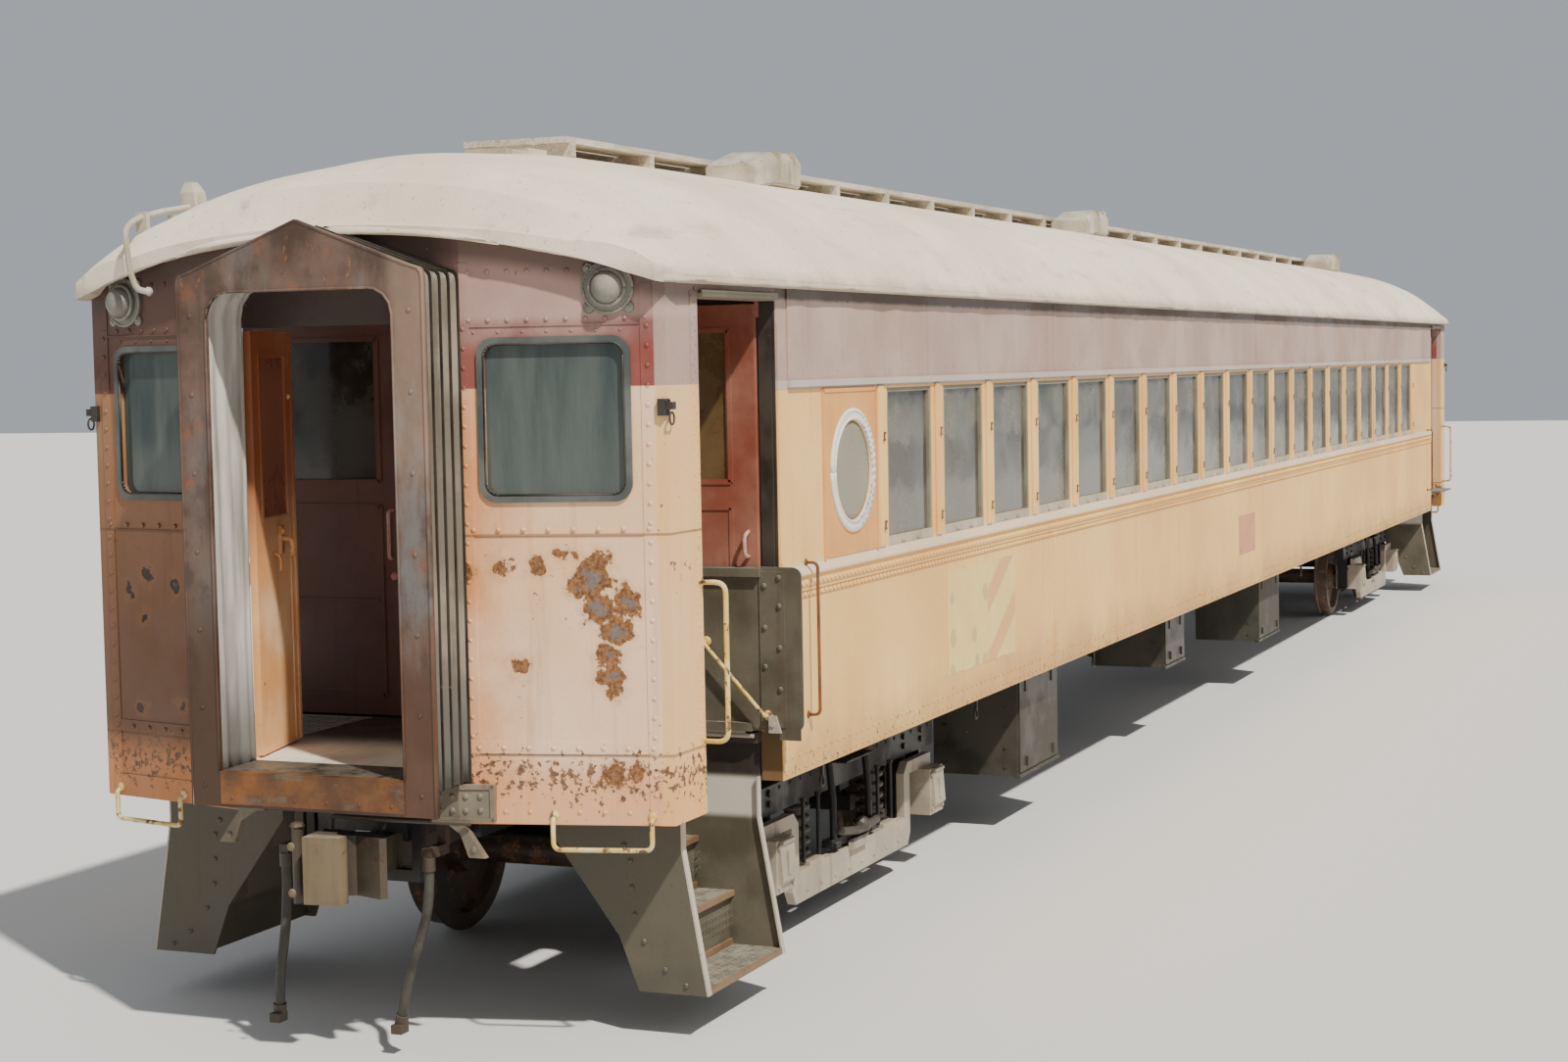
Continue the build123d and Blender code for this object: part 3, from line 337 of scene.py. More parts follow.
def side_finish():
    finish = Finish("side_paint").paint(TAN, TAN_PALE, BROWN_RUN, 0.7, 0.16, 0.22)
    x, y, z = finish.where()
    upper = finish.layer(MAUVE, MAUVE_PALE, streaks=0.2)["Color"]
    finish.coat(z.spread(LETTERBOARD - 0.016, LETTERBOARD - 0.008), upper)
    finish.coat((abs(z - (LETTERBOARD + 0.012)) < 0.020) * 0.5, (206, 196, 190))
    # A dark band just below the eave: painted shadow of the roof's overhang.
    eaves = (z + finish.noise(6.0, 4, 0.6) * 0.02).spread(EAVE - 0.055, EAVE - 0.030)
    finish.coat(eaves * 0.85, SOOT_AND_SHADE)
    # A dark strip along each side doorway's rear jamb: painted shade in the gap by the open door.
    jamb = (abs(abs(x) - at(VESTIBULE)) < 0.004) * (abs(y) < SIDE - 0.004)
    finish.coat(jamb * 0.85, SOOT_AND_SHADE)
    for level in (BELT_LOW + 0.014, BELT_LOW - 0.038):
        finish.coat((abs(z - level) < 0.006) * 0.55, BROWN_RUN)
    sill = z.spread(BELT_HIGH + 0.004, BELT_HIGH + 0.010) * z.spread(WINDOW_LOW + 0.02, WINDOW_LOW - 0.004)
    finish.coat(sill * 0.75, (216, 200, 182))
    finish.chips(24.0, 0.15, SHEET_LOW, 0.3, 0.10).dirt(BROWN_RUN, SHEET_LOW - 0.1, 0.45, 0.5).done()


PATCHES = (
    (1.141, 2.081, 0.078), (1.078, 2.040, 0.042), (1.172, 2.150, 0.040), (1.159, 1.956, 0.068),
    (1.285, 1.976, 0.058), (1.240, 1.851, 0.072), (1.205, 1.755, 0.055), (1.203, 1.662, 0.056),
    (1.222, 1.600, 0.030), (0.735, 2.125, 0.028), (0.904, 2.137, 0.036), (0.595, 2.105, 0.026),
    (1.006, 2.187, 0.020), (1.072, 2.165, 0.020), (0.817, 1.703, 0.038), (1.215, 1.235, 0.050),
    (1.300, 1.250, 0.030), (-1.16, 2.060, 0.032), (-1.28, 1.985, 0.026), (-0.86, 2.110, 0.030),
    (-0.98, 2.020, 0.024), (-1.18, 1.870, 0.020), (-0.95, 1.46, 0.026), (-1.22, 1.44, 0.024),
)


def bare_patches(finish):
    """Flaked paint with rusty rims and grey steel inside, where the list says, at the near end."""
    x, y, z = finish.where()
    nearest = None
    for across, height, radius in PATCHES:
        away = finish.math("SQRT", abs(y - across) ** 2 + abs(z - height) ** 2) - radius
        nearest = finish.math("MINIMUM", nearest, away) if nearest else away
    edge = nearest + (finish.noise(17.0, 5, 0.62) - 0.5) * 0.15
    here = x > HALF - 1.0
    rusted = edge.spread(0.006, -0.004) * here
    cored = edge.spread(-0.026, -0.050) * here
    finish.coat(edge.spread(0.05, 0.0) * here * 0.25, RUST_LIGHT)
    flakes = finish.mix(finish.noise(60.0, 4, 0.7).spread(0.35, 0.65), RUST_DARK, RUST_LIGHT)
    # On the −y side the rust is painted darker: painted shade.
    finish.coat(rusted, finish.mix(y < 0.0, flakes, (62, 42, 30))).coat(cored * 0.6, BARE_STEEL)
    finish.height -= rusted


def end_finish():
    finish = Finish("end_paint").paint(ORANGE, ORANGE_PALE, BROWN_RUN, 1.6, 0.4, 0.3)
    x, y, z = finish.where()
    across = y + (finish.noise(2.2, 5, 0.6) - 0.5) * 0.9
    # Paler cream towards the +y panel, with the −y panel left deeper orange: painted sunlight on the sunward
    # side.
    sunward_painted_light = finish.layer(CREAM, CREAM_PALE, BROWN_RUN, 1.2, 0.35, 0.2)["Color"]
    finish.coat(across.spread(0.50, 0.95), sunward_painted_light)
    corner = y.spread(SIDE - 0.055, SIDE - 0.045)
    upper = finish.layer(MAROON, MAROON_PALE)["Color"]
    upper = finish.mix(z.spread(RAIL + 3.12, RAIL + 3.0) * 0.7, upper, MAROON_FRESH)
    upper = finish.mix(corner, upper, finish.layer(MAUVE, MAUVE_PALE)["Color"])
    finish.coat(z.spread(RAIL + 2.862, RAIL + 2.870), upper)
    # The near end's −y panel darker below the roof, and darker still in the maroon band: painted shade.
    left_panel_painted_shade = across.spread(-0.2, -0.7) * z.spread(RAIL + 3.2, RAIL + 1.4, 0.62, 0.93) * (x > 0.0)
    finish.coat(left_panel_painted_shade, (92, 62, 44))
    finish.coat(left_panel_painted_shade * z.spread(RAIL + 2.86, RAIL + 2.89, 0, 0.75), (60, 44, 38))
    # Dark beside the doorway above the floor, round the diaphragm: painted shade.
    finish.coat(abs(y).spread(0.64, 0.44, 0, 0.9) * z.spread(FLOOR, FLOOR + 0.05), SOOT_AND_SHADE)
    finish.coat(z.spread(RAIL + 1.34, RAIL + 1.14, 0, 0.65), ORANGE)
    finish.coat(corner * z.spread(RAIL + 2.87, RAIL + 2.86) * 0.55, TAN)
    # The top of the maroon band on the +y panel is paler: painted light under the roof's edge.
    finish.coat(z.spread(RAIL + 3.13, RAIL + 3.18, 0, 0.55) * (y > 0.6), (196, 164, 152))
    finish.coat((abs(z - (RAIL + 2.237)) < 0.006) * 0.6, RUST_DARK)
    # Darker just under the roof's edge along the top of the end: painted shadow of the roof.
    under = z - abs(y) ** 2 * -0.11
    finish.coat(under.spread(RAIL + 3.42, RAIL + 3.50, 0, 0.75), (70, 56, 50))
    finish.coat((abs(z - (RAIL + 1.29)) < 0.007) * 0.55, RUST_DARK)
    finish.chips(30.0, 0.185, RAIL + 1.19, 0.22, 0.17).chips(13.0, 0.13, RAIL + 2.10, 0.26, 0.115)
    bare_patches(finish)
    finish.done(0.004, 0.7)


def canvas_finish():
    finish = Finish("roof_canvas", 0.9)
    x, y, z = finish.where()
    finish.colour = (230, 211, 185)
    finish.coat(finish.noise(0.9, 7, 0.62).spread(0.3, 0.7), (248, 235, 214))
    finish.mottle((176, 160, 138), 0.55, 0.54, 0.74, 2.1, 8, 0.7, (0.6, 2.2, 2.2))
    finish.mottle((150, 134, 112), 0.7, 0.61, 0.70, 30.0, 4, 0.75)
    low = z + finish.noise(5.0, 5, 0.65) * 0.14
    finish.coat(low.spread(EAVE + 0.17, EAVE + 0.08, 0.0, 0.45), (140, 126, 108))
    finish.height = finish.noise(2.6, 7, 0.6, (1.0, 0.35, 0.35)) + finish.noise(160.0, 2, 0.5) * 0.06
    finish.done(0.035, 0.7)


def plate_finishes():
    """The face plate, blue and ochre with rust, and the threshold under the passage."""
    finish = Finish("plate_rust").paint((74, 54, 42), (108, 86, 74), (52, 42, 36), 2.6, 0.5, 0.5)
    x, y, z = finish.where()
    blue = finish.noise(2.6, 7, 0.66, (1, 1.8, 0.6)).spread(0.48, 0.64)
    # Grey-blue patches, stronger towards +y: partly the plate's own colour, partly painted light on the
    # sunward side.
    finish.coat(blue * y.spread(-0.1, 0.5, 0.35, 0.85), (112, 110, 108))
    finish.mottle((146, 88, 48), 0.55, 0.58, 0.74, 5.0, 7, 0.6)
    finish.mottle((176, 116, 56), 0.6, 0.62, 0.72, 9.0, 6, 0.7, (1, 1.6, 0.7))
    finish.mottle((66, 56, 48), 0.7, 0.52, 0.68, 6.0, 6, 0.66, (1, 1, 0.6))
    finish.coat(z.spread(RAIL + 2.2, RAIL + 1.4, 0, 0.65), (84, 54, 34))
    finish.coat(y.spread(-0.35, -0.50, 0, 0.6) * z.spread(RAIL + 2.3, RAIL + 1.6), (58, 42, 28))
    # The upper right leg paler: painted sunlight.
    finish.coat(y.spread(0.40, 0.50, 0, 0.45) * z.spread(RAIL + 2.3, RAIL + 2.7), (166, 138, 116))
    finish.done(0.004, 0.6)
    finish = Finish("threshold_rust").paint((80, 52, 30), (130, 84, 44), (58, 48, 40), 4.0, 0.2, 0.5)
    finish.mottle((98, 92, 80), 0.7, 0.52, 0.66, 7.0, 6, 0.66, (1, 0.7, 2.2)).done(0.003, 0.6)


def bellows_finish():
    finish = Finish("bellows_canvas").paint((112, 102, 88), (150, 138, 120), (78, 68, 58), 2.2, 0.7, 0.45)
    x, y, z = finish.where()
    folds = finish.noise(3.0, 6, 0.6, (3, 3, 0.4)).spread(0.4, 0.7)
    clean = finish.mix(folds, (214, 208, 200), (160, 156, 148))
    finish.coat(abs(y).spread(0.535, 0.525) * 0.9, clean)
    finish.coat(z.spread(RAIL + 1.85, RAIL + 1.30, 0, 0.8), (84, 86, 82)).done(0.006, 0.6)


def glass_finish(name, tint, dust, clear=0.82, smear=0.32, streak=(1, 1, 1), banded=False):
    finish = Finish(name, 0.06)
    x, y, z = finish.where()
    film = finish.noise(2.3, 7, 0.65, streak).spread(0.3, 0.75)
    finish.colour = finish.mix(film, tint, dust)
    if banded:
        share = (z - WINDOW_LOW) * (1 / (WINDOW_HIGH - WINDOW_LOW)) + (finish.noise(4.0, 5, 0.6) - 0.5) * 0.5
        finish.coat(share.spread(0.28, 0.40) * share.spread(0.70, 0.62) * 0.62, (104, 102, 92))
        finish.coat(share.spread(0.90, 1.0, 0, 0.6), (96, 110, 108))
    finish.wire(film.spread(0.0, 1.0, 0.05, smear), finish.shader["Roughness"])
    finish.shader["Transmission Weight"].default_value = clear
    finish.shader["IOR"].default_value = 1.5
    finish.done()


def steel(name, fresh, faded):
    return Finish(name).paint(fresh, faded, BROWN_GRIME, 2.6, 0.5, 0.45)


def step_finish():
    finish = steel("step_steel", (84, 79, 66), (104, 98, 82))
    x, y, z = finish.where()
    # A pale band on the rear plates: painted sunlight falling through the doorway.
    pale = z.spread(RAIL + 0.80, RAIL + 0.84) * z.spread(RAIL + 1.03, RAIL + 0.99) * (abs(x) < at(0.9))
    finish.coat(pale * 0.85, (214, 209, 192))
    # The front plates a little darker: painted shade.
    finish.coat((abs(x) > at(0.62)) * 0.35, (58, 53, 42))
    # A dark band just under the floor: painted shade.
    under_floor_painted_shade = z.spread(RAIL + 0.99, RAIL + 1.03) * z.spread(FLOOR - 0.03, FLOOR - 0.06)
    finish.coat(under_floor_painted_shade * 0.85, SOOT_AND_SHADE).chips(11.0, 0.12).dust((160, 154, 140), 0.75).done(0.003, 0.6)


def coupler_finish():
    finish = steel("coupler_iron", (92, 78, 58), (116, 102, 78)).chips(11.0, 0.26).dust(DUST, 0.5)
    x, y, z = finish.where()
    # The coupler's deeper parts below the floor darkened: painted shade under the car.
    low = abs(x).spread(HALF + 0.375, HALF + 0.33) * (z < FLOOR)
    finish.coat(low * 0.7, SOOT_AND_SHADE).done(0.003, 0.6)


def suspension_finish():
    """Pale dust on the equalizers and boxes, with painted shade over the springs above them."""
    finish = steel("equalizer_dust_and_shade", (154, 142, 124), (178, 166, 148)).chips(11.0, 0.12).dust(DUST, 0.7)
    x, y, z = finish.where()
    # Darker above the equalizers near each truck's middle: painted shadow of the car body.
    middle = (abs(abs(x) - at(TRUCK)) < 0.70) * (z > RAIL + 0.339)
    finish.coat(middle * 0.88, (44, 40, 36)).done(0.003, 0.6)


def door_finishes():
    """Red side doors with painted shade on the side away from the sun, and pale end doors with painted shade
    above.
    """
    finish = Finish("door_paint").paint((133, 72, 56), (160, 108, 88), (76, 44, 36), 1.5, 0.5, 0.3)
    x, y, z = finish.where()
    # The −y doors darkened: painted shade.
    finish.coat(y.spread(0.3, -0.1, 0, 0.6), SOOT_AND_SHADE).chips(9.0, 0.16).done()
    finish = Finish("end_door_paint").paint((242, 174, 110), (250, 208, 164), RED_GRIME, 1.5, 0.5, 0.3)
    x, y, z = finish.where()
    # The end doors' upper part deeper red-brown: painted shade.
    height = z + finish.noise(3.0, 5, 0.6) * 0.4
    finish.coat(height.spread(RAIL + 2.1, RAIL + 2.75, 0, 0.85), (138, 62, 34)).chips(9.0, 0.16).done()


def board_finishes():
    """Weathered boards: a dusty floor with painted shade further inside, and the walk on the roof."""
    finish = Finish("floor_boards").paint((222, 210, 188), (240, 230, 212), (160, 144, 122), 2.0, 0.0, 0.3)
    x, y, z = finish.where()
    grain = finish.noise(9.0, 6, 0.7, (0.5, 9, 9))
    finish.coat(grain.spread(0.4, 0.75, 0, 0.4), (164, 150, 128))
    # Darker further in from the end: painted shade inside the vestibule.
    finish.coat(abs(x).spread(HALF - 0.35, HALF - 0.8), (70, 60, 52))
    finish.height = grain
    finish.done()
    finish = Finish("walk_boards").paint((196, 186, 166), (222, 214, 196), (88, 76, 64), 2.0, 0.0, 0.35)
    grain = finish.noise(9.0, 6, 0.7, (0.5, 9, 9))
    finish.coat(grain.spread(0.4, 0.75, 0, 0.6), (96, 84, 70))
    finish.height = grain
    finish.done()


def soft_finishes():
    finish = Finish("seat_leather").paint((150, 134, 112), (178, 164, 142), (90, 76, 62), 3.0, 0.2, 0.3)
    finish.height = finish.noise(90.0, 4, 0.6)
    finish.done(0.002, 0.4)
    Finish("hose_rubber").paint((42, 40, 35), (70, 67, 58), (104, 96, 80), 9.0, 0.3, 0.5).done(0.002, 0.5)


def poster_finish():
    """A faded yellow sheet with plain slanting bands and round spots, and nothing to read."""
    finish = Finish("poster_sheet").paint((236, 200, 112), (242, 212, 140), (206, 160, 100), 3.0, 0.3, 0.3)
    x, y, z = finish.where()
    wave = finish.math("SINE", (x * 0.6 + z) * 17.0)
    right_half = x.spread(at(4.52), at(4.58))
    finish.coat(wave.spread(0.25, 0.45) * right_half * 0.6, (214, 146, 92))
    spots = finish.add("TexVoronoi")
    finish.fill(spots, ("Vector", "Scale", "Randomness"), finish.coords(), 5.0, 0.3)
    dots = Value(finish, spots.outputs["Distance"]).spread(0.30, 0.24) * (1.0 - right_half)
    finish.coat(dots * 0.45, (150, 130, 120)).done(0.001, 0.3)


# frame_black, box_steel and truck_iron are darker than their paint: painted shade under the car.
STEELS = {
    "frame_black": ((30, 27, 24), (46, 42, 38), 0.22, 0.3),
    "window_gasket": ((70, 76, 74), (100, 104, 98), 0.1, 0.3),
    "bellows_iron": ((44, 40, 36), (66, 60, 54), 0.2, 0.3),
    "bracket_steel": ((104, 95, 80), (132, 122, 104), 0.2, 0.45),
    "step_edge": ((170, 160, 142), (188, 178, 160), 0.12, 0.5),
    "nosing_brown": ((108, 84, 60), (132, 108, 80), 0.2, 0.3),
    "box_steel": ((53, 50, 43), (69, 66, 57), 0.18, 0.28),
    "truck_iron": ((20, 18, 17), (36, 33, 30), 0.14, 0.35),
    "wheel_steel": ((70, 58, 48), (98, 82, 68), 0.3, 0.4),
    "seat_iron": ((88, 84, 78), (116, 110, 102), 0.15, 0.4),
}
PAINTS = {
    # inner_paint is near-black brown: painted shade inside the car.
    "inner_paint": ((46, 34, 30), (66, 46, 38), SOOT_AND_SHADE, 1.4, 0.5, 0.3, 9, 0.1),
    "white_paint": ((226, 220, 210), (240, 234, 224), (170, 154, 134), 3.0, 0.4, 0.3, 14, 0.12),
    "orange_panel": ((220, 144, 72), (230, 168, 98), BROWN_RUN, 1.5, 0.3, 0.2, 9, 0.12),
    "sash_edge": ((120, 112, 94), (146, 136, 116), (96, 82, 64), 3.0, 0.3, 0.3, 9, 0.2),
    "sash_paint": ((168, 156, 136), (194, 182, 162), (120, 100, 78), 3.0, 0.4, 0.3, 9, 0.2),
    "grab_paint": ((216, 178, 84), (228, 208, 150), (96, 72, 48), 7.0, 0.4, 0.4, 24, 0.3),
    "vent_metal": ((166, 156, 134), (206, 198, 180), (124, 106, 80), 2.4, 0.6, 0.6, 8, 0.22),
    "lamp_metal": ((118, 116, 106), (146, 142, 130), (80, 66, 56), 5.0, 0.4, 0.4, 9, 0.2),
    "door_handle": ((190, 120, 108), (206, 168, 156), (110, 60, 50), 9.0, 0.3, 0.4, 22, 0.25),
    "leaf_latch": ((222, 150, 92), (230, 186, 140), RED_GRIME, 9.0, 0.3, 0.4, 22, 0.25),
    "faded_plate": ((206, 138, 96), (216, 160, 120), BROWN_RUN, 5.0, 0.3, 0.4, 20, 0.2),
}
PANES = {
    "end_pane": ((66, 78, 76), (96, 104, 99), 0.2, 0.12, (1, 3, 0.4)),
    "porthole_pane": ((138, 132, 114), (156, 148, 128), 0.1, 0.5),
    # dark_pane, on the −y side doors, is near black: painted shade.
    "dark_pane": ((44, 40, 34), (66, 58, 46), 0.05, 0.5),
    "door_pane": ((92, 74, 50), (118, 94, 62), 0.05, 0.6),
    "leaf_pane": ((128, 76, 58), (152, 96, 76), 0.05, 0.5),
}
for make in (
    side_finish, end_finish, canvas_finish, plate_finishes, bellows_finish, step_finish, coupler_finish,
    suspension_finish, door_finishes, board_finishes, soft_finishes, poster_finish,
):
    make()
for name, (fresh, faded, rust, cover) in STEELS.items():
    steel(name, fresh, faded).chips(11.0, rust).dust(DUST, cover).done(0.003, 0.6)
for name, (*looks, chip_size, chip_amount) in PAINTS.items():
    Finish(name).paint(*looks).chips(chip_size, chip_amount).done()
for name, looks in PANES.items():
    glass_finish(name, *looks)
glass_finish("window_glass", (172, 172, 158), (202, 194, 176), banded=True)

slot_of = {part["node"]: part["material_slot"] for part in frame["record"]["subparts"]}
other_finish = {"end_glass": "end_pane", "end_brackets": "bracket_steel"}
other_finish.update({f"truck_springs_{end}": "equalizer_dust_and_shade" for end in ("near", "far")})
for name, node in nodes.items():
    node.data.materials.clear()
    node.data.materials.append(finishes[other_finish.get(name, slot_of[name])])


# Mesh helpers
def rounded(points, bend, steps=5):
    """A line's points, with its corners rounded."""
    corners = [Vector(p) for p in points]
    line = [corners[0]]
    for before, corner, after in zip(corners, corners[1:], corners[2:]):
        reach = min(bend, (before - corner).length / 2, (after - corner).length / 2)
        start = corner + (before - corner).normalized() * reach
        finish = corner + (after - corner).normalized() * reach
        for step in range(steps + 1):
            share = step / steps
            line.append((1 - share) ** 2 * start + 2 * share * (1 - share) * corner + share**2 * finish)
    return line + [corners[-1]]


def circle(centre, first, second, count):
    """Points around a centre, between two arms."""
    turns = [2 * pi * i / count for i in range(count)]
    return [Vector(centre) + cos(turn) * Vector(first) + sin(turn) * Vector(second) for turn in turns]


def arms(outward):
    """The direction itself and two across it."""
    normal = Vector(outward).normalized()
    first = normal.orthogonal().normalized()
    return normal, first, normal.cross(first)


def spaced(first, last, gap):
    count = max(1, round(abs(last - first) / gap))
    return [first + (last - first) * i / count for i in range(count + 1)]


class Heap:
    """Points and faces of many small solids that make one piece."""

    def __init__(self):
        self.points = []
        self.faces = []

    def put(self, points, faces):
        start = len(self.points)
        self.points += [tuple(p) for p in points]
        self.faces += [tuple(i + start for i in face) for face in faces]
        return self

    def loft(self, rings, foot=None, tip=None, flip=False, capped=True):
        """A skin over rings of points, ended by flat faces or by single points."""
        around = len(rings[0])
        points = [p for ring in rings for p in ring]
        last = len(points) - around
        pairs = [(k, (k + 1) % around) for k in range(around)]
        starts = range(0, last, around)
        faces = [(i + a, i + b, i + b + around, i + a + around) for i in starts for a, b in pairs]
        if foot is not None:
            faces += [(b, a, len(points)) for a, b in pairs]
            points.append(foot)
        elif capped:
            faces.append(tuple(reversed(range(around))))
        if tip is not None:
            faces += [(last + a, last + b, len(points)) for a, b in pairs]
            points.append(tip)
        elif capped:
            faces.append(tuple(range(last, last + around)))
        return self.put(points, [face[::-1] for face in faces] if flip else faces)

    def block(self, low, high):
        (x0, x1), (y0, y1), (z0, z1) = (sorted(pair) for pair in zip(low, high))
        return self.loft([[(x0, y0, z), (x1, y0, z), (x1, y1, z), (x0, y1, z)] for z in (z0, z1)])

    def prism(self, outline, lift):
        """A flat outline given thickness along a vector."""
        base = [Vector(p) for p in outline]
        normal = Vector()
        for first, second in zip(base, base[1:] + base[:1]):
            normal += first.cross(second)
        if normal.dot(Vector(lift)) < 0:
            base.reverse()
        return self.loft([base, [p + Vector(lift) for p in base]])

    def dome(self, centre, outward, radius, height, sides=8):
        normal, first, second = arms(outward)
        rings = []
        for wide, tall in ((radius, 0.0), (radius * 0.82, 0.6), (radius * 0.42, 0.93)):
            middle = Vector(centre) + normal * height * tall
            rings.append(circle(middle, wide * first, wide * second, sides))
        return self.loft(rings, tip=Vector(centre) + normal * height)

    def bolt(self, centre, outward, radius=0.016, height=0.012):
        normal, first, second = arms(outward)
        return self.prism(circle(centre, radius * first, radius * second, 6), normal * height)

    def tube(self, points, radius, bend=0.05, sides=10):
        """A round bar along a line of points."""
        line = rounded(points, bend)
        rings = []
        side = None
        for i, place in enumerate(line):
            ahead = (line[min(i + 1, len(line) - 1)] - line[max(i - 1, 0)]).normalized()
            side = (side - ahead * side.dot(ahead)).normalized() if side else ahead.orthogonal().normalized()
            rings.append(circle(place, radius * side, radius * ahead.cross(side), sides))
        return self.loft(rings)

    def wire(self, points, radius, sides=8):
        """A thin bar through close points."""
        return self.tube(points, radius, 0.0001, sides)

    def loop(self, centre, first, second, count, radius, sides=8):
        """A thin bar bent into a ring."""
        ring = circle(centre, first, second, count)
        return self.wire(ring + ring[:1], radius, sides)

    def pillow(self, centre, size, edge=0.4, lean=0.0, rings=8, sides=20):
        """A crowned closed cushion: half sizes in x, y and z, turned about y by lean degrees."""
        turn = Matrix.Rotation(radians(lean), 3, "Y")

        def spot(*shares):
            return Vector(centre) + turn @ Vector(share * half for share, half in zip(shares, size))

        def crown(value):
            return abs(value) ** edge * (1 if value >= 0 else -1)

        rows = []
        for rise in (pi * (i / rings - 0.5) for i in range(1, rings)):
            turns = [2 * pi * k / sides for k in range(sides)]
            wide, tall = crown(cos(rise)), crown(sin(rise))
            rows.append([spot(wide * crown(cos(a)), wide * crown(sin(a)), tall) for a in turns])
        return self.loft(rows, spot(0, 0, -1.03), spot(0, 0, 1.03))

    def moved(self, change, flip=False):
        faces = [face[::-1] for face in self.faces] if flip else self.faces
        return Heap().put([change(p) for p in self.points], faces)

    def mirrored(self, axis):
        return self.moved(lambda p: tuple(-c if i == axis else c for i, c in enumerate(p)), flip=True)

    def turned(self, pivot, axis, angle):
        back = Matrix.Translation([-c for c in pivot])
        turn = Matrix.Translation(pivot) @ Matrix.Rotation(radians(angle), 4, axis) @ back
        return self.moved(lambda p: tuple(turn @ Vector(p)))

    def join(self, other):
        return self.put(other.points, other.faces)

    def both_ways(self, axis):
        return self.join(self.mirrored(axis))

    def four_ways(self):
        return self.both_ways(1).both_ways(0)

    def make(self, name, slot, finish=None, smooth=False, bevel=0.0, body="body"):
        mesh = bpy.data.meshes.new(name)
        mesh.from_pydata(self.points, [], self.faces)
        mesh.update()
        if bevel:
            shape = bmesh.new()
            shape.from_mesh(mesh)
            sharp = [e for e in shape.edges if len(e.link_faces) == 2 and e.calc_face_angle(0) > 0.6]
            bmesh.ops.bevel(shape, geom=sharp, offset=bevel, segments=2, affect="EDGES", clamp_overlap=True)
            shape.to_mesh(mesh)
            shape.free()
        mesh.materials.append(finishes[finish or slot])
        if smooth:
            mesh.shade_smooth()
        thing = bpy.data.objects.new(name, mesh)
        bpy.context.scene.collection.objects.link(thing)
        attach(thing, body)
        return thing


def pair(axis, heap, name, *looks, **more):
    """A piece and its mirror image: at both ends along x, or on both sides along y."""
    words = ("near", "far") if axis == 0 else ("left", "right")
    twins = zip(words, (heap, heap.mirrored(axis)))
    return [twin.make(f"{name}_{word}", *looks, **more) for word, twin in twins]


def quarters(name):
    """The name of each corner's piece, and what turns the near left one into it."""
    for end in ("near", "far"):
        for side in ("left", "right"):
            def place(heap, end=end, side=side):
                if side == "right":
                    heap = heap.mirrored(1)
                return heap.mirrored(0) if end == "far" else heap
            yield f"{name}_{end}_{side}", place


# Rivets, battens and lower edge of the side walls
RIVET = 0.0105
RIVET_HEIGHT = 0.006
SEAMS = (5.97, 12.1, 19.7)
LEFTWARD = (0, 1, 0)
UPWARD = (0, 0, 1)
DOWNWARD = (0, 0, -1)
ONWARD = (1, 0, 0)


def side_rivets():
    heads = Heap()
    start = at(VESTIBULE + 0.03)
    rows = (
        (SHEET_LOW + 0.03, 0.0, 0.085, 1.0), (SHEET_LOW + 0.095, 0.0, 0.085, 1.0),
        (BELT_LOW - 0.020, 0.0, 0.055, 1.45), (BELT_LOW + 0.035, 0.010, 0.055, 1.45),
    )
    for height, proud, gap, size in rows:
        for x in spaced(-start, start, gap):
            heads.dome((x, SIDE + proud, height), LEFTWARD, RIVET * size, RIVET_HEIGHT * size, 6)
    columns = [VESTIBULE + 0.03, 2 * HALF - VESTIBULE - 0.03]
    columns += [seam + shift for seam in SEAMS for shift in (-0.022, 0.022)]
    for station in columns:
        for height in spaced(SHEET_LOW + 0.15, BELT_LOW - 0.08, 0.08):
            heads.dome((at(station), SIDE + 0.002, height), LEFTWARD, RIVET * 0.8, RIVET_HEIGHT, 6)
    for height in (LETTERBOARD + 0.075, EAVE - 0.05):
        for x in spaced(at(VESTIBULE + 0.17), -at(VESTIBULE + 0.17), 0.15):
            heads.dome((x, SIDE + 0.008, height), LEFTWARD, RIVET * 0.6, 0.003, 5)
    return heads


def side_battens():
    strips = Heap()
    low, high = SHEET_LOW, BELT_LOW - 0.002
    for x in (at(seam) for seam in SEAMS):
        strips.block((x - 0.045, SIDE - 0.001, low + 0.002), (x + 0.045, SIDE + 0.003, high))
        strips.block((x - 0.020, SIDE, LETTERBOARD + 0.036), (x + 0.020, SIDE + 0.011, EAVE - 0.01))
    for sign in (-1, 1):
        x = sign * at(VESTIBULE + 0.004)
        strips.block((x, SIDE - 0.001, low + 0.04), (x - sign * 0.055, SIDE + 0.003, high))
        top = LETTERBOARD + 0.30
        strips.block((x, SIDE - 0.001, WINDOW_LOW + 0.02), (x - sign * 0.030, SIDE + 0.006, top))
    return strips


pair(1, side_rivets(), "side_rivets", "side_paint", smooth=True)
pair(1, side_battens(), "side_battens", "side_paint")


# End panels: a slanted sheet on each side of the doorway
OUTWARD = tuple(c / hypot(1, PANEL_SLOPE) for c in (1, PANEL_SLOPE, 0))
LAMP_Y = PANEL_OUT - 0.1838
LAMP_Z = RAIL + 3.284


def on_end(y, z, lift=0.0):
    return (at(PANEL_SLOPE * (y - PANEL_IN)) + lift * OUTWARD[0], y + lift * OUTWARD[1], z)


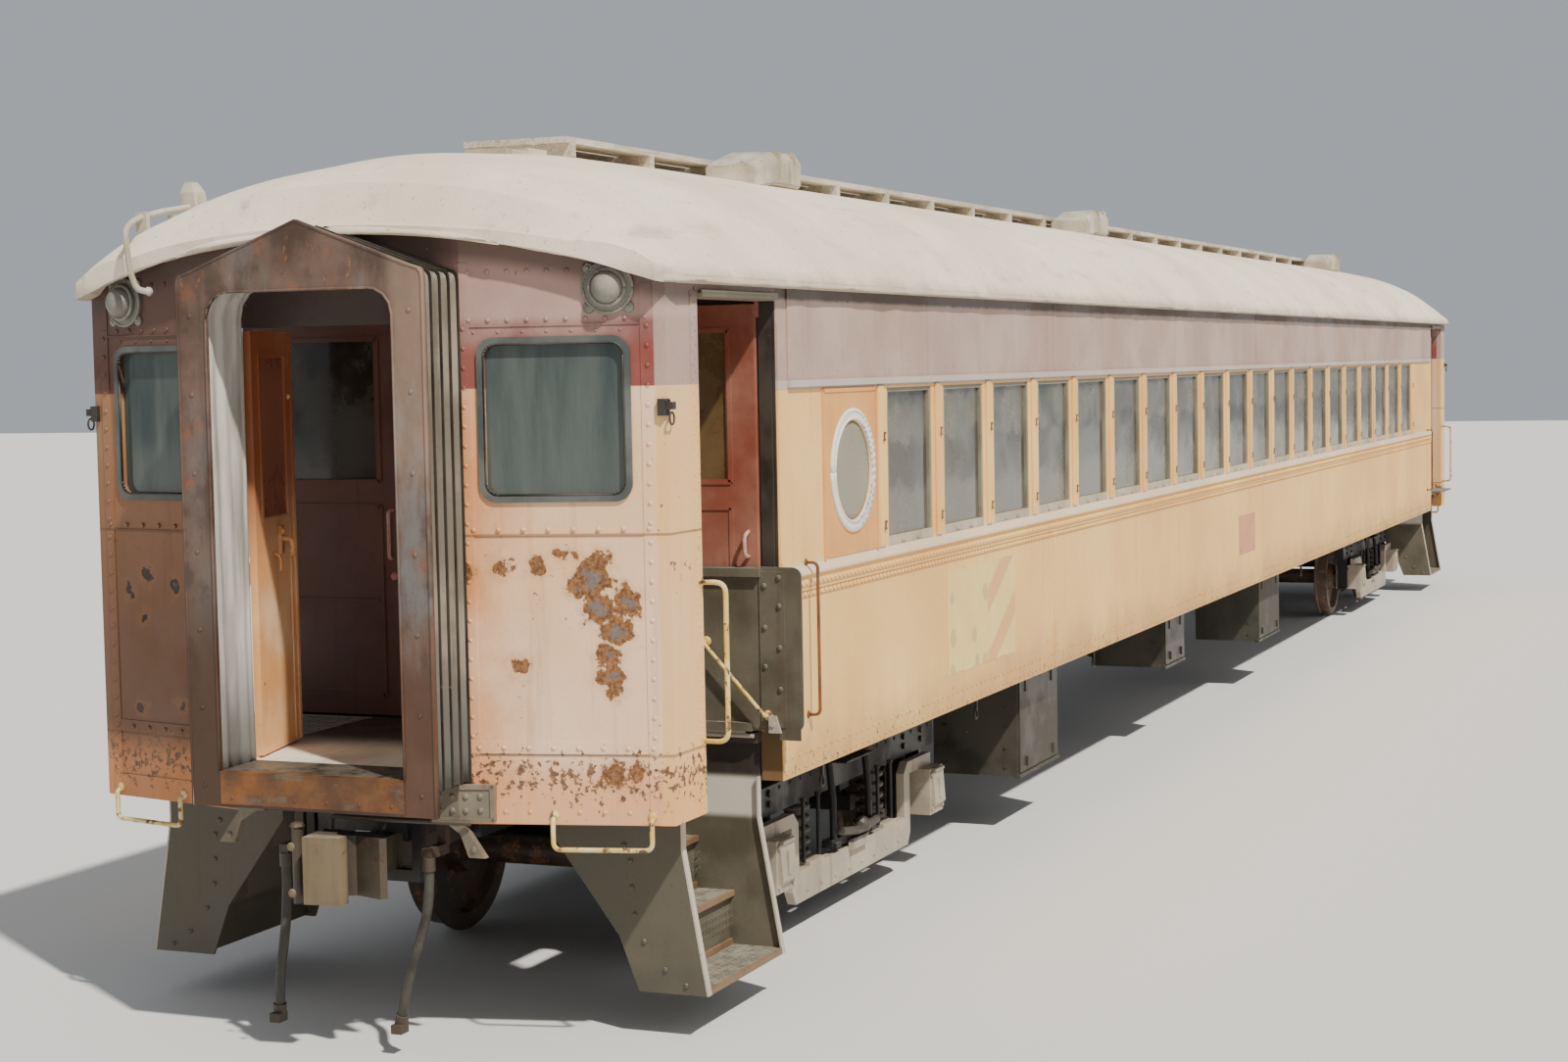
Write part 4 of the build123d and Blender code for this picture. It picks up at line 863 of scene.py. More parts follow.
def end_rivets():
    heads = Heap()
    small = 0.0115
    rows = (
        (0.635, 1.06, 0.085, 3.361, 0.0), (0.635, 1.385, 0.083, 3.155, 0.0),
        (0.635, 1.385, 0.107, 2.262, 0.004), (0.635, 1.385, 0.107, 1.322, 0.004),
        (0.635, 1.385, 0.107, 1.045, 0.004),
    )
    for first, last, gap, height, lift in rows:
        for y in spaced(first, last, gap):
            heads.dome(on_end(y, RAIL + height, lift), OUTWARD, small, 0.007)
    for y in spaced(0.655, 1.385, 0.11):
        heads.dome(on_end(y, RAIL + 3.105), OUTWARD, small * 0.7, 0.004, 6)
    for height in spaced(1.12, 3.12, 0.085):
        heads.dome(on_end(0.610, RAIL + height, 0.003), OUTWARD, small * 0.9, 0.006, 6)
        heads.dome(on_end(1.392, RAIL + height, 0.003), OUTWARD, small, 0.007)
    for height in spaced(RAIL + 1.02, RAIL + 3.28, 0.06):
        for station, rise in ((0.505, 0.0), (0.475, 0.03)):
            heads.dome((at(station), SIDE + 0.003, height + rise), LEFTWARD, small * 0.62, 0.004, 6)
    return heads.both_ways(1)


def end_strips():
    strips = Heap()
    rows = (
        (0.640, 1.362, 2.234, 2.242, 0.005), (0.640, 1.362, 3.128, 3.134, 0.005),
        (0.640, 1.362, 1.296, 1.350, 0.004), (0.640, 1.362, 0.992, 1.094, 0.005),
        (1.364, 1.416, 0.992, 3.30, 0.004), (0.578, 0.638, 0.992, 3.40, 0.004),
    )
    for y0, y1, low, high, thick in rows:
        corners = [on_end(y, RAIL + z) for y, z in ((y0, low), (y1, low), (y1, high), (y0, high))]
        strips.prism(corners, [thick * c for c in OUTWARD])
    strips.block((at(0.530), SIDE - 0.002, RAIL + 0.992), (at(0.455), SIDE + 0.003, RAIL + 3.27))
    return strips.both_ways(1)


def window_gasket():
    """The dark rubber line between an end window's frame and its glass."""
    radius = 0.055
    middle_y, middle_z = 0.994, RAIL + 2.7305
    ring = []
    for across, rise, turn in ((1, -1, -90), (1, 1, 0), (-1, 1, 90), (-1, -1, 180)):
        for angle in (radians(turn + 18 * step) for step in range(6)):
            y = middle_y + across * (0.300 - radius) + radius * cos(angle)
            z = middle_z + rise * (0.3245 - radius) + radius * sin(angle)
            ring.append(on_end(y, z, 0.006))
    return Heap().wire(ring + ring[:1], 0.007).both_ways(1)


def lamp_details():
    """Flange lugs and bolts around a marker lamp, and its rounded lens rim."""
    lamp = Heap()
    for turn in (radians(45 + 90 * i) for i in range(4)):
        y, z = LAMP_Y + 0.118 * cos(turn), LAMP_Z + 0.118 * sin(turn)
        lamp.dome(on_end(y, z, 0.002), OUTWARD, 0.026, 0.012, 12)
        lamp.bolt(on_end(y, z, 0.012), OUTWARD, 0.009, 0.006)
    across = Vector((-PANEL_SLOPE, 1, 0)) * 0.975
    for radius, lift, thick in ((0.107, 0.014, 0.006), (0.077, 0.033, 0.008)):
        lamp.loop(on_end(LAMP_Y, LAMP_Z, lift), radius * across, (0, 0, radius), 32, thick)
    return lamp.both_ways(1)


def post_socket():
    """The dark lamp socket on the rounded corner, with its ring."""
    socket = Heap()
    x, y, z = at(0.205), SIDE - 0.012, RAIL + 2.775
    socket.block((x - 0.026, y - 0.020, z - 0.036), (x + 0.026, y + 0.016, z + 0.036))
    socket.block((x - 0.018, y + 0.014, z - 0.010), (x + 0.018, y + 0.048, z + 0.022))
    socket.loop((x, y + 0.036, z - 0.048), (0.022, 0, 0), (0, 0, 0.026), 16, 0.0045)
    for dx in (-0.017, 0.017):
        socket.bolt((x + dx, y + 0.016, z + 0.026), LEFTWARD, 0.006, 0.005)
    return socket.both_ways(1)


def jamb_seal():
    """Dark rubber down the rear jamb of a side doorway."""
    x = at(VESTIBULE)
    seal = Heap().block((x - 0.002, 1.384, FLOOR + 0.012), (x + 0.009, 1.446, RAIL + 3.236))
    return seal.block((x - 0.002, 1.452, FLOOR + 0.012), (x + 0.004, 1.466, RAIL + 3.236)).both_ways(1)


def doorway_drip():
    """A drip rail over a side doorway, with its gutter."""
    first, last = at(0.545), at(1.405)
    rail = Heap().block((first, SIDE - 0.002, RAIL + 3.246), (last, SIDE + 0.022, RAIL + 3.262))
    return rail.block((first, SIDE + 0.016, RAIL + 3.262), (last, SIDE + 0.022, RAIL + 3.276)).both_ways(1)


pair(0, end_rivets(), "end_rivets", "end_paint", smooth=True)
pair(0, end_strips(), "end_strips", "end_paint")
pair(0, window_gasket(), "window_gaskets", "window_gasket", "bellows_iron", smooth=True)
pair(0, post_socket(), "post_sockets", "coupler_iron", "bellows_iron", bevel=0.003)
pair(0, jamb_seal(), "jamb_seals", "end_paint", "bellows_iron", bevel=0.002)
pair(0, doorway_drip(), "doorway_drips", "side_paint", "sash_edge", bevel=0.002)
lamp_details().make("lamp_rims", "lamp_metal", smooth=True)


# Panel around the round window, its frosted pane and its beads
ROUND_X, ROUND_Z = at(2.38), RAIL + 2.41


def round_window_panel():
    """A squared sheet with a round hole, and its side and top battens."""
    low, high = WINDOW_LOW + 0.004, WINDOW_HIGH - 0.004
    first, last = at(1.985), at(2.725)
    count = 64
    ring = []
    edge = []
    for turn in (2 * pi * i / count for i in range(count)):
        c, s = cos(turn), sin(turn)
        reach_x = ((first if c > 0 else last) - ROUND_X) / c if abs(c) > 1e-6 else 9
        reach_z = ((high if s > 0 else low) - ROUND_Z) / s if abs(s) > 1e-6 else 9
        step = min(reach_x, reach_z)
        ring.append((ROUND_X + 0.300 * c, ROUND_Z + 0.300 * s))
        edge.append((ROUND_X + step * c, ROUND_Z + step * s))
    back, front = SIDE - 0.001, SIDE + 0.005
    lines = ((front, ring), (front, edge), (back, edge), (back, ring))
    points = [(x, y, z) for y, line in lines for x, z in line]
    faces = []
    for i in range(count):
        j = (i + 1) % count
        for a, b in ((0, count), (count, 2 * count), (2 * count, 3 * count), (3 * count, 0)):
            faces.append((a + i, b + i, b + j, a + j))
    heap = Heap().put(points, faces)
    for x in (first, last):
        heap.block((x - 0.010, SIDE, low - 0.01), (x + 0.010, SIDE + 0.010, high + 0.01))
    return heap.block((last, SIDE, high - 0.006), (first, SIDE + 0.010, high + 0.012))


def round_window_bead():
    bead = Heap()
    for radius, thick, depth in ((0.302, 0.010, 0.008), (0.262, 0.008, 0.010)):
        bead.loop((ROUND_X, SIDE + depth, ROUND_Z), (radius, 0, 0), (0, 0, radius), 48, thick)
    return bead


frosted = Heap().dome((ROUND_X, SIDE - 0.004, ROUND_Z), LEFTWARD, 0.264, 0.010, 48)
pair(1, round_window_panel(), "round_window_panel", "door_paint", "orange_panel")
pair(1, frosted, "round_window_pane", "window_glass", "porthole_pane", smooth=True)
pair(1, round_window_bead(), "round_window_bead", "white_paint", smooth=True)


# Posts, catches and sashes along the windows
def window_trims():
    posts, catches, rails, edges = Heap(), Heap(), Heap(), Heap()
    half = 0.35
    low, high = WINDOW_LOW, WINDOW_HIGH
    for i in range(WINDOW_COUNT + 1):
        x = at(FIRST_POST + WINDOW_PITCH * i)
        posts.block((x - 0.045, SIDE - 0.002, low + 0.004), (x + 0.045, SIDE + 0.010, high + 0.018))
        for z in (low + 0.115, low + 0.575):
            catches.block((x - 0.032, SIDE + 0.009, z - 0.020), (x - 0.020, SIDE + 0.016, z + 0.022))
            catches.block((x - 0.032, SIDE + 0.013, z - 0.024), (x - 0.008, SIDE + 0.020, z - 0.014))
            catches.bolt((x - 0.026, SIDE + 0.017, z + 0.018), LEFTWARD, 0.006, 0.005)
    for i in range(WINDOW_COUNT):
        x = at(FIRST_POST + WINDOW_PITCH * (i + 0.5))
        rails.block((x - half, SIDE - 0.009, low + 0.004), (x + half, SIDE - 0.003, low + 0.050))
        for lift in (x - 0.12, x + 0.12):
            rails.block((lift - 0.03, SIDE - 0.004, low + 0.014), (lift + 0.03, SIDE + 0.006, low + 0.022))
        for side in (-1, 1):
            edge = x + side * half
            edges.block((edge, SIDE - 0.022, low + 0.046), (edge - side * 0.028, SIDE - 0.004, high))
        edges.block((x - half + 0.03, SIDE - 0.022, high - 0.022), (x + half - 0.03, SIDE - 0.006, high))
    pair(1, posts, "window_posts", "side_paint", bevel=0.004)
    pair(1, catches, "window_catches", "coupler_iron", "nosing_brown")
    pair(1, rails, "sash_rails", "side_paint", "sash_paint")
    pair(1, edges, "sash_edges", "side_paint", "sash_edge")


window_trims()


# Bare poster and blank plate on the left side
def torn_sheet(first, last, low, high, thick, ragged):
    line = [(x, low) for x in spaced(first, last, 0.06)]
    line += [(last, z) for z in spaced(low, high, 0.06)[1:]]
    line += [(x, high) for x in spaced(last, first, 0.06)[1:]]
    line += [(first, z) for z in spaced(high, low, 0.06)[1:-1]]
    outline = []
    for x, z in line:
        shift = noise.noise_vector(Vector((x * 7, 3.1, z * 7)))
        outline.append((x + ragged * shift[0], SIDE + 0.0005, z + ragged * shift[2]))
    return Heap().prism(outline, (0, thick, 0))


poster = torn_sheet(at(3.83), at(5.09), RAIL + 1.19, RAIL + 1.78, 0.002, 0.012)
poster.make("poster", "side_paint", "poster_sheet")
plate = torn_sheet(at(11.4), at(12.02), RAIL + 1.29, RAIL + 1.61, 0.004, 0.0)
for x in (at(11.45), at(11.97)):
    for z in (RAIL + 1.33, RAIL + 1.57):
        plate.bolt((x, SIDE + 0.004, z), LEFTWARD, 0.010, 0.005)
plate.make("blank_plate", "side_paint", "faded_plate")


# Canvas lapped over the roof's lower edge, uneven and torn
ROOF_OUT = HALF + 0.08
ARCH_TOP = RAIL + 3.540
ARCH_RADIUS = 4.732
ROOF_HALF = 1.53
CORNER_Y = 1.455
HOOD_CORNER = 0.275


def arch_height(y):
    return ARCH_TOP - ARCH_RADIUS + sqrt(ARCH_RADIUS**2 - y**2)


def roof_edge():
    """Points along one quarter of the roof's lower edge, each with its outward direction."""
    line = [(ROOF_OUT, y, arch_height(y), 1, 0) for y in spaced(0.0, PANEL_IN, 0.04)[:-1]]
    for y in spaced(PANEL_IN, CORNER_Y, 0.04):
        line.append((ROOF_OUT - PANEL_SLOPE * (y - PANEL_IN), y, arch_height(y), 0.97, 0.23))
    corner_x = ROOF_OUT - PANEL_SLOPE * (CORNER_Y - PANEL_IN)
    for turn in spaced(0.15, 1.0, 0.17):
        x = corner_x + (at(HOOD_CORNER) - corner_x) * turn
        y = CORNER_Y + (ROOF_HALF - CORNER_Y) * turn**0.6
        line.append((x, y, arch_height(y) + 0.012 * turn, 0.5 * (1 - turn), 0.5 + 0.5 * turn))
    return line + [(x, ROOF_HALF, EAVE, 0, 1) for x in spaced(at(HOOD_CORNER + 0.06), 0.0, 0.06)]


def canvas_edge():
    rings = []
    for x, y, z, *outward in roof_edge():
        rag = noise.noise(Vector((x * 6.0, y * 6.0, 0.3)))
        drop = 0.010 * rag + 0.006 * noise.noise(Vector((x * 21.0, y * 21.0, 4.0))) - 0.004
        out = 0.007 + 0.005 * noise.noise(Vector((x * 4.0, y * 4.0, 9.0)))
        across, along = (c / hypot(*outward) for c in outward)
        top = 0.034 + 0.010 * rag
        section = (
            (-0.012, top), (out * 0.6, top - 0.008), (out, 0.008), (out * 0.9, -drop),
            (-0.004, 0.004 - drop), (-0.014, 0.004),
        )
        rings.append([(x + away * across, y + away * along, z + rise) for away, rise in section])
    return Heap().loft(rings, flip=True).four_ways()


canvas_edge().make("canvas_edge", "roof_canvas", smooth=True)


# Ventilators under lapped canvas, and the conduit and patches on the hood
VENT_IN, VENT_OUT = 0.33, 0.62
VENT_TOP = RAIL + 4.165
VENT_LOW = RAIL + 3.835
VENT_LIP = RAIL + 3.96
VENTS = ((3.2, 3.88), (9.85, 10.5), (20.3, 21.0))


def ventilator(first, last, seed):
    """A box with lapped, dented sides, standing clear of the roof along its outer edge."""
    box = Heap()
    outline = []
    for y in spaced(VENT_IN, VENT_OUT, 0.06):
        outline.append((y, VENT_LOW + (VENT_LIP - VENT_LOW) * max(0.0, (y - 0.44) / (VENT_OUT - 0.44))))
    outline += [(VENT_OUT, z) for z in spaced(VENT_LIP, VENT_TOP - 0.06, 0.06)[1:]]
    outline += [(y, VENT_TOP - 0.004) for y in spaced(VENT_OUT - 0.035, VENT_IN + 0.015, 0.08)]
    outline += [(VENT_IN, z) for z in spaced(VENT_TOP - 0.02, VENT_LOW, 0.06)[:-1]]
    rows = spaced(at(first), at(last), 0.06)
    rings = []
    for row, x in enumerate(rows):
        from_end = min(row, len(rows) - 1 - row) * 0.06
        slump = 0.035 + (0.09 * max(0.0, 1 - from_end / 0.30) if row < len(rows) / 2 else 0.0)
        ring = []
        for y, z in outline:
            dent = noise.noise_vector(Vector((x * 3.1 + seed, y * 4.3, z * 4.3)))
            high = (z - VENT_LOW) / (VENT_TOP - VENT_LOW)
            fall = slump * high + 0.016 * abs(dent[2]) * high
            ring.append((x + 0.02 * dent[0], y - 0.012 * abs(dent[1]), z - fall))
        rings.append(ring)
    box.loft(rings)
    for x in (at(first) - 0.36, at(last) + 0.10):
        low = (x - 0.010, VENT_IN + 0.004, VENT_LIP + 0.01)
        box.block(low, (x + 0.010, VENT_OUT + 0.003, VENT_TOP - 0.036))
    return box


def hood_fittings():
    fittings = Heap()
    y = -1.10
    front = at(-0.015)
    path = (
        (at(0.50), y, RAIL + 3.735), (at(0.26), y, RAIL + 3.700), (at(0.06), y, RAIL + 3.655),
        (front, y, RAIL + 3.610), (front, y + 0.02, RAIL + 3.42), (front, y + 0.055, RAIL + 3.335),
        (at(-0.012), y + 0.115, RAIL + 3.325),
    )
    fittings.tube(path, 0.014, sides=12).dome(path[-1], (0, 1, 0.1), 0.022, 0.02, 10)
    corners = [(-0.05, -0.04), (-0.05, 0.04), (0.05, 0.04), (0.05, -0.04)]
    rings = []
    for rise, wide, lean in ((3.66, 0.8, 0.0), (3.735, 1.0, 0.0), (3.80, 0.95, 0.01), (3.848, 0.5, 0.02)):
        rings.append([(at(0.52) + dx * wide + lean, y + dy * wide, RAIL + rise) for dx, dy in corners])
    fittings.loft(rings, flip=True)
    for x in (at(0.12), at(0.36)):
        fittings.block((x - 0.012, y - 0.03, RAIL + 3.60), (x + 0.012, y + 0.03, RAIL + 3.69))
    for first, last, high in ((1.18, 1.40, 3.994), (1.41, 1.60, 4.010)):
        fittings.block((at(first), -0.02, RAIL + 3.93), (at(last), 0.20, RAIL + high))
    return fittings


vents = Heap()
for seed, (first, last) in enumerate(VENTS):
    vents.join(ventilator(first, last, seed * 5.0))
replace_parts(vents.make("ventilators", "vent_metal", bevel=0.006), "roof_ventilators")
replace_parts(hood_fittings().make("hood_fittings", "vent_metal", bevel=0.006), "roof_conduit")


# Diaphragm: folded canvas between thin iron hoops, and the plate's bead and threshold
BELLOWS_LENGTH = 0.300
BELLOWS_PITCH = BELLOWS_LENGTH / 4
BELLOWS_OUT = 0.596
BELLOWS_BORE = 0.500
PLATE_FRONT = HALF + 0.325
PLATE_BOTTOM = RAIL + 1.068
PLATE_SHOULDER = RAIL + 3.366
PLATE_PEAK = RAIL + 3.594
PASSAGE_HALF = 0.466
PASSAGE_TOP = RAIL + 3.299


def whole(line):
    return line + [(-y, z) for y, z in reversed(line[:-1])]


def upright(half, low, high, steps=16):
    return [(half, low + (high - low) * i / steps) for i in range(steps + 1)]


def gable(half, below_shoulder, below_peak, bottom):
    """A gable's outline from foot to foot, its height given from the face plate's."""
    shoulder, peak = PLATE_SHOULDER - below_shoulder, PLATE_PEAK - below_peak
    line = upright(half, bottom, shoulder - 0.03)
    line += [(half - 0.004, shoulder - 0.006), (half - 0.016, shoulder + 0.010)]
    for share in (0.12, 0.35, 0.6, 0.85, 1.0):
        line.append((half * (1 - share), shoulder + (peak - shoulder) * share))
    return whole(line)


def arch(half, top, bottom, radius=0.14):
    """The passage's outline from foot to foot, with as many points as the gable's."""
    line = upright(half, bottom, top - radius)
    for turn in (radians(angle) for angle in (25, 50, 75, 90)):
        line.append((half - radius + radius * cos(turn), top - radius + radius * sin(turn)))
    return whole(line + [((half - radius) * (1 - share), top) for share in (0.4, 0.75, 1.0)])


def folded_canvas():
    rings = []
    for depth in spaced(0.0, BELLOWS_LENGTH, BELLOWS_PITCH / 8):
        wave = 0.5 - 0.5 * cos(2 * pi * depth / BELLOWS_PITCH)
        tuck = 0.032 * wave**0.8
        ring = []
        for y, z in gable(BELLOWS_OUT - tuck, 0.012 + tuck, 0.022 + tuck, FLOOR - 0.048):
            sway = 0.006 * noise.noise(Vector((depth * 14, y * 5, z * 2.3))) * min(1.0, wave * 3)
            ring.append((HALF + depth, y - (sway if y > 0 else -sway), z))
        for y, z in reversed(arch(BELLOWS_BORE, PASSAGE_TOP + 0.03, FLOOR - 0.048)):
            drape = 0.012 * noise.noise(Vector((depth * 16, y * 2, z * 0.7))) + 0.006 * sin(depth * 75)
            ring.append((HALF + depth, y + (drape if y > 0 else -drape) * min(1.0, abs(y) * 4), z))
        rings.append(ring)
    folds = Heap().loft(rings, capped=False)
    around = len(rings[0])
    last = (len(rings) - 1) * around
    for k in range(around // 2 - 1):
        j = around - 1 - k
        folds.faces += [(k + 1, k, j, j - 1), (last + k, last + k + 1, last + j - 1, last + j)]
    return folds


def hoop(x0, x1, outer, inner):
    """A flat gable-shaped hoop between two outlines."""
    count = len(outer)
    points = [(x, y, z) for x in (x0, x1) for line in (outer, inner) for y, z in line]
    faces = [(k, count + k, 3 * count + k, 2 * count + k) for k in (0, count - 1)]
    for k in range(count - 1):
        for a, b, c, d in ((0, 1, 3, 2), (5, 4, 6, 7), (1, 0, 4, 5), (2, 3, 7, 6)):
            faces.append(tuple(k + corner % 2 + corner // 2 * count for corner in (a, b, c, d)))
    return Heap().put(points, faces)


def bellows_hoops():
    hoops = Heap()
    outer = gable(BELLOWS_OUT + 0.006, 0.006, 0.016, FLOOR - 0.050)
    inner = gable(BELLOWS_OUT - 0.016, 0.026, 0.040, FLOOR - 0.050)
    for i in range(5):
        x = HALF + min(i * BELLOWS_PITCH, BELLOWS_LENGTH - 0.008)
        hoops.join(hoop(x, x + 0.007, outer, inner))
    return hoops


def plate_trim():
    """A rolled bead around the passage, edge flats and bolts on the face plate."""
    line = arch(PASSAGE_HALF - 0.001, PASSAGE_TOP, FLOOR + 0.002, 0.115)
    trim = Heap().wire([(PLATE_FRONT + 0.001, y, z) for y, z in line], 0.006)
    outer = gable(0.613, -0.001, -0.002, PLATE_BOTTOM)
    trim.join(hoop(PLATE_FRONT - 0.030, PLATE_FRONT + 0.003, outer, gable(0.605, 0.007, 0.008, PLATE_BOTTOM)))
    for height in spaced(RAIL + 1.16, RAIL + 3.2, 0.34):
        for y in (-0.545, 0.545):
            trim.dome((PLATE_FRONT, y, height), ONWARD, 0.011, 0.005, 10)
    return trim


def threshold():
    half = PASSAGE_HALF - 0.004
    x = PLATE_FRONT
    bar = Heap().block((x - 0.002, -half, PLATE_BOTTOM + 0.012), (x + 0.006, half, FLOOR - 0.004))
    bar.block((x - 0.026, -half, FLOOR - 0.008), (x + 0.007, half, FLOOR + 0.003))
    for y in spaced(-0.40, 0.40, 0.16):
        bar.dome((x + 0.006, y, PLATE_BOTTOM + 0.045), ONWARD, 0.011, 0.005, 10)
    return bar


near_folds, far_folds = pair(0, folded_canvas(), "bellows_folds", "bellows_canvas", smooth=True)
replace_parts(near_folds, "bellows_near")
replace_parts(far_folds, "bellows_far")
pair(0, bellows_hoops(), "bellows_hoops", "bellows_canvas", "bellows_iron")
pair(0, plate_trim(), "plate_trim", "plate_rust", smooth=True)
pair(0, threshold(), "threshold_bar", "plate_rust", "threshold_rust", bevel=0.002)


# Riveted brackets beside the plate
def bracket_rivets():
    heads = Heap()
    low, high = RAIL + 1.004, RAIL + 1.162

    def spot(share, z):
        return (HALF + 0.045 * (1 - share), 0.56 + 0.145 * share, z)

    for first, z0, z1 in ((0.0, low, low + 0.016), (0.0, high - 0.016, high), (0.90, low, high)):
        if not first:
            heads.block((HALF + 0.044, 0.432, z0), (HALF + 0.051, 0.562, z1))
        heads.prism([spot(first, z0), spot(1.0, z0), spot(1.0, z1), spot(first, z1)], (0.0067, 0.0021, 0))
    for z in (RAIL + 1.052, RAIL + 1.114):
        for y in (0.462, 0.528):
            heads.dome((HALF + 0.045, y, z), ONWARD, 0.014, 0.010, 10)
        for share in (0.20, 0.62):
            heads.dome(spot(share, z), (0.955, 0.296, 0), 0.014, 0.010, 10)
    return heads.dome((HALF + 0.042, 0.625, RAIL + 0.885), ONWARD, 0.016, 0.010, 10).both_ways(1)


pair(0, bracket_rivets(), "bracket_rivets", "frame_black", "bracket_steel")


# Grab irons: bent rods with flattened feet
def upright_grab(x, reach, low, high, radius, bend, foot, thick):
    ends = SIDE - 0.004, SIDE + reach
    path = [(x, ends[0], low), (x, ends[1], low), (x, ends[1], high), (x, ends[0], high)]
    bar = Heap().tube(path, radius, bend)
    for z in (low, high):
        bar.dome((x, SIDE + 0.002, z), LEFTWARD, foot, thick, 12)
    return bar


def bright_grabs():
    bars = upright_grab(at(0.51), 0.12, RAIL + 1.312, RAIL + 2.008, 0.0115, 0.05, 0.026, 0.008)
    y0, y1 = 0.952, 1.375
    top, foot = RAIL + 1.018, RAIL + 0.887
    half = [(top, 0.0), (top, 0.03), (foot, 0.03)]
    path = [on_end(y0, *spot) for spot in half] + [on_end(y1, *spot) for spot in reversed(half)]
    bars.tube(path, 0.011, bend=0.035)
    for y in (y0, y1):
        bars.dome(on_end(y, top + 0.012, 0.004), OUTWARD, 0.022, 0.014, 12)
    return bars.four_ways()


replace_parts(bright_grabs().make("bright_grabs", "grab_paint", smooth=True), "grab_irons")
wall_grab = upright_grab(at(1.736), 0.062, RAIL + 1.262, RAIL + 1.996, 0.008, 0.03, 0.020, 0.006)
wall_grab.four_ways().make("wall_grabs", "side_paint", "threshold_rust", smooth=True)


# Trap doors: drawn lowered at the near left corner, then turned and mirrored into place
HINGE_X = at(1.340)
HINGE = (HINGE_X, 0.0, FLOOR - 0.012)
TRAP_IN, TRAP_OUT = 0.722, 1.605
TRAP_FRONT, TRAP_BACK = at(0.545), at(1.316)


def trap_plate():
    slab = Heap()
    radius = 0.045
    outline = [(TRAP_BACK, TRAP_IN, FLOOR - 0.012), (TRAP_FRONT, TRAP_IN, FLOOR - 0.012)]
    for cx, turn in ((TRAP_FRONT - radius, 0), (TRAP_BACK + radius, 90)):
        for angle in (radians(turn + 18 * step) for step in range(6)):
            y = TRAP_OUT - radius + radius * sin(angle)
            outline.append((cx + radius * cos(angle), y, FLOOR - 0.012))
    slab.prism(outline, (0, 0, 0.012))
    bars = (
        (TRAP_FRONT - 0.045, TRAP_FRONT - 0.004, TRAP_IN, 1.405, 0.040),
        (TRAP_BACK, TRAP_BACK + 0.040, TRAP_IN, 1.352, 0.038),
        (TRAP_BACK + 0.04, TRAP_FRONT - 0.045, TRAP_IN, TRAP_IN + 0.04, 0.036),
        (TRAP_BACK + 0.02, TRAP_FRONT - 0.020, 1.395, 1.520, 0.018),
        (TRAP_BACK - 0.040, TRAP_BACK + 0.020, 1.484, TRAP_OUT - 0.012, 0.011999),
    )
    for x0, x1, y0, y1, deep in bars:
        slab.block((x0, y0, FLOOR - deep), (x1, y1, FLOOR - 0.011))
    for y, stations in ((1.421, (0.327, 0.512, 0.707)), (1.495, (0.222, 0.417, 0.612, 0.745))):
        for along in stations:
            slab.dome((HINGE_X + along, y, FLOOR - 0.018), DOWNWARD, 0.014, 0.010, 10)
    for x in spaced(TRAP_BACK + 0.06, TRAP_FRONT - 0.03, 0.045):
        for y in spaced(TRAP_IN + 0.03, TRAP_OUT - 0.04, 0.06):
            slab.dome((x, y, FLOOR), UPWARD, 0.009, 0.0025, 5)
    return slab


def trap_hinge():
    barrel = Heap()
    for first, last in ((0.724, 0.87), (0.878, 1.03), (1.038, 1.19), (1.198, 1.352)):
        barrel.tube([(HINGE_X, y, HINGE[2]) for y in (first, last)], 0.0112, sides=12)
    barrel.block((TRAP_BACK + 0.004, 0.770, FLOOR - 0.017), (HINGE_X + 0.002, 1.310, FLOOR - 0.007))
    stop = ((0.02, 1.440), (0.10, 1.440), (0.10, 1.475), (0.02, 1.500))
    barrel.prism([(HINGE_X + along, y, FLOOR - 0.020) for along, y in stop], (0, 0, -0.018))
    return barrel.bolt((HINGE_X + 0.06, 1.462, FLOOR - 0.038), DOWNWARD, 0.012, 0.008)


def trap_prop():
    low = FLOOR - 0.058
    start, finish = (HINGE_X + 0.440, 1.120), (HINGE_X + 0.100, 1.430)
    path = [(*start, FLOOR - 0.020), (*start, low), (*finish, low), (*finish, FLOOR - 0.016)]
    rod = Heap().tube(path, 0.010, bend=0.03)
    for spot in (start, finish):
        rod.dome((*spot, FLOOR - 0.017), DOWNWARD, 0.026, 0.010, 12)
    return rod


for name, place in quarters("trap"):
    fittings = (
        ("plate", trap_plate(), None), ("hinge", trap_hinge(), "step_edge"),
        ("prop", trap_prop(), "grab_paint"),
    )
    for part, heap, finish in fittings:
        if name == "trap_near_left":
            heap = heap.turned(HINGE, "Y", -90)
        thing = place(heap).make(f"{name}_{part}", "step_steel", finish, smooth=part == "prop", body=name)
        if part == "plate":
            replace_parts(thing, name)


# Side doors: glass, mouldings and handle, drawn closed at the near left doorway
DOOR_REAR, DOOR_FREE = at(1.396), at(0.541)
DOOR_IN, DOOR_OUT = SIDE - 0.09, SIDE - 0.058
DOOR_HINGE = (DOOR_REAR, DOOR_IN, 0.0)


def door_mouldings():
    trim = Heap()
    x0, x1 = DOOR_REAR + 0.13, DOOR_FREE - 0.13
    for y0, y1 in ((DOOR_IN - 0.005, DOOR_IN), (DOOR_OUT, DOOR_OUT + 0.005)):
        for z0, z1 in ((RAIL + 1.33, RAIL + 2.28), (RAIL + 2.40, RAIL + 3.11)):
            for x in (x0, x1):
                trim.block((x - 0.011, y0, z0), (x + 0.011, y1, z1))
            for z in (z0, z1):
                trim.block((x0, y0, z - 0.011), (x1, y1, z + 0.011))
        trim.block((x0 + 0.02, y0, RAIL + 1.80), (x1 - 0.02, y1, RAIL + 1.815))
    return trim


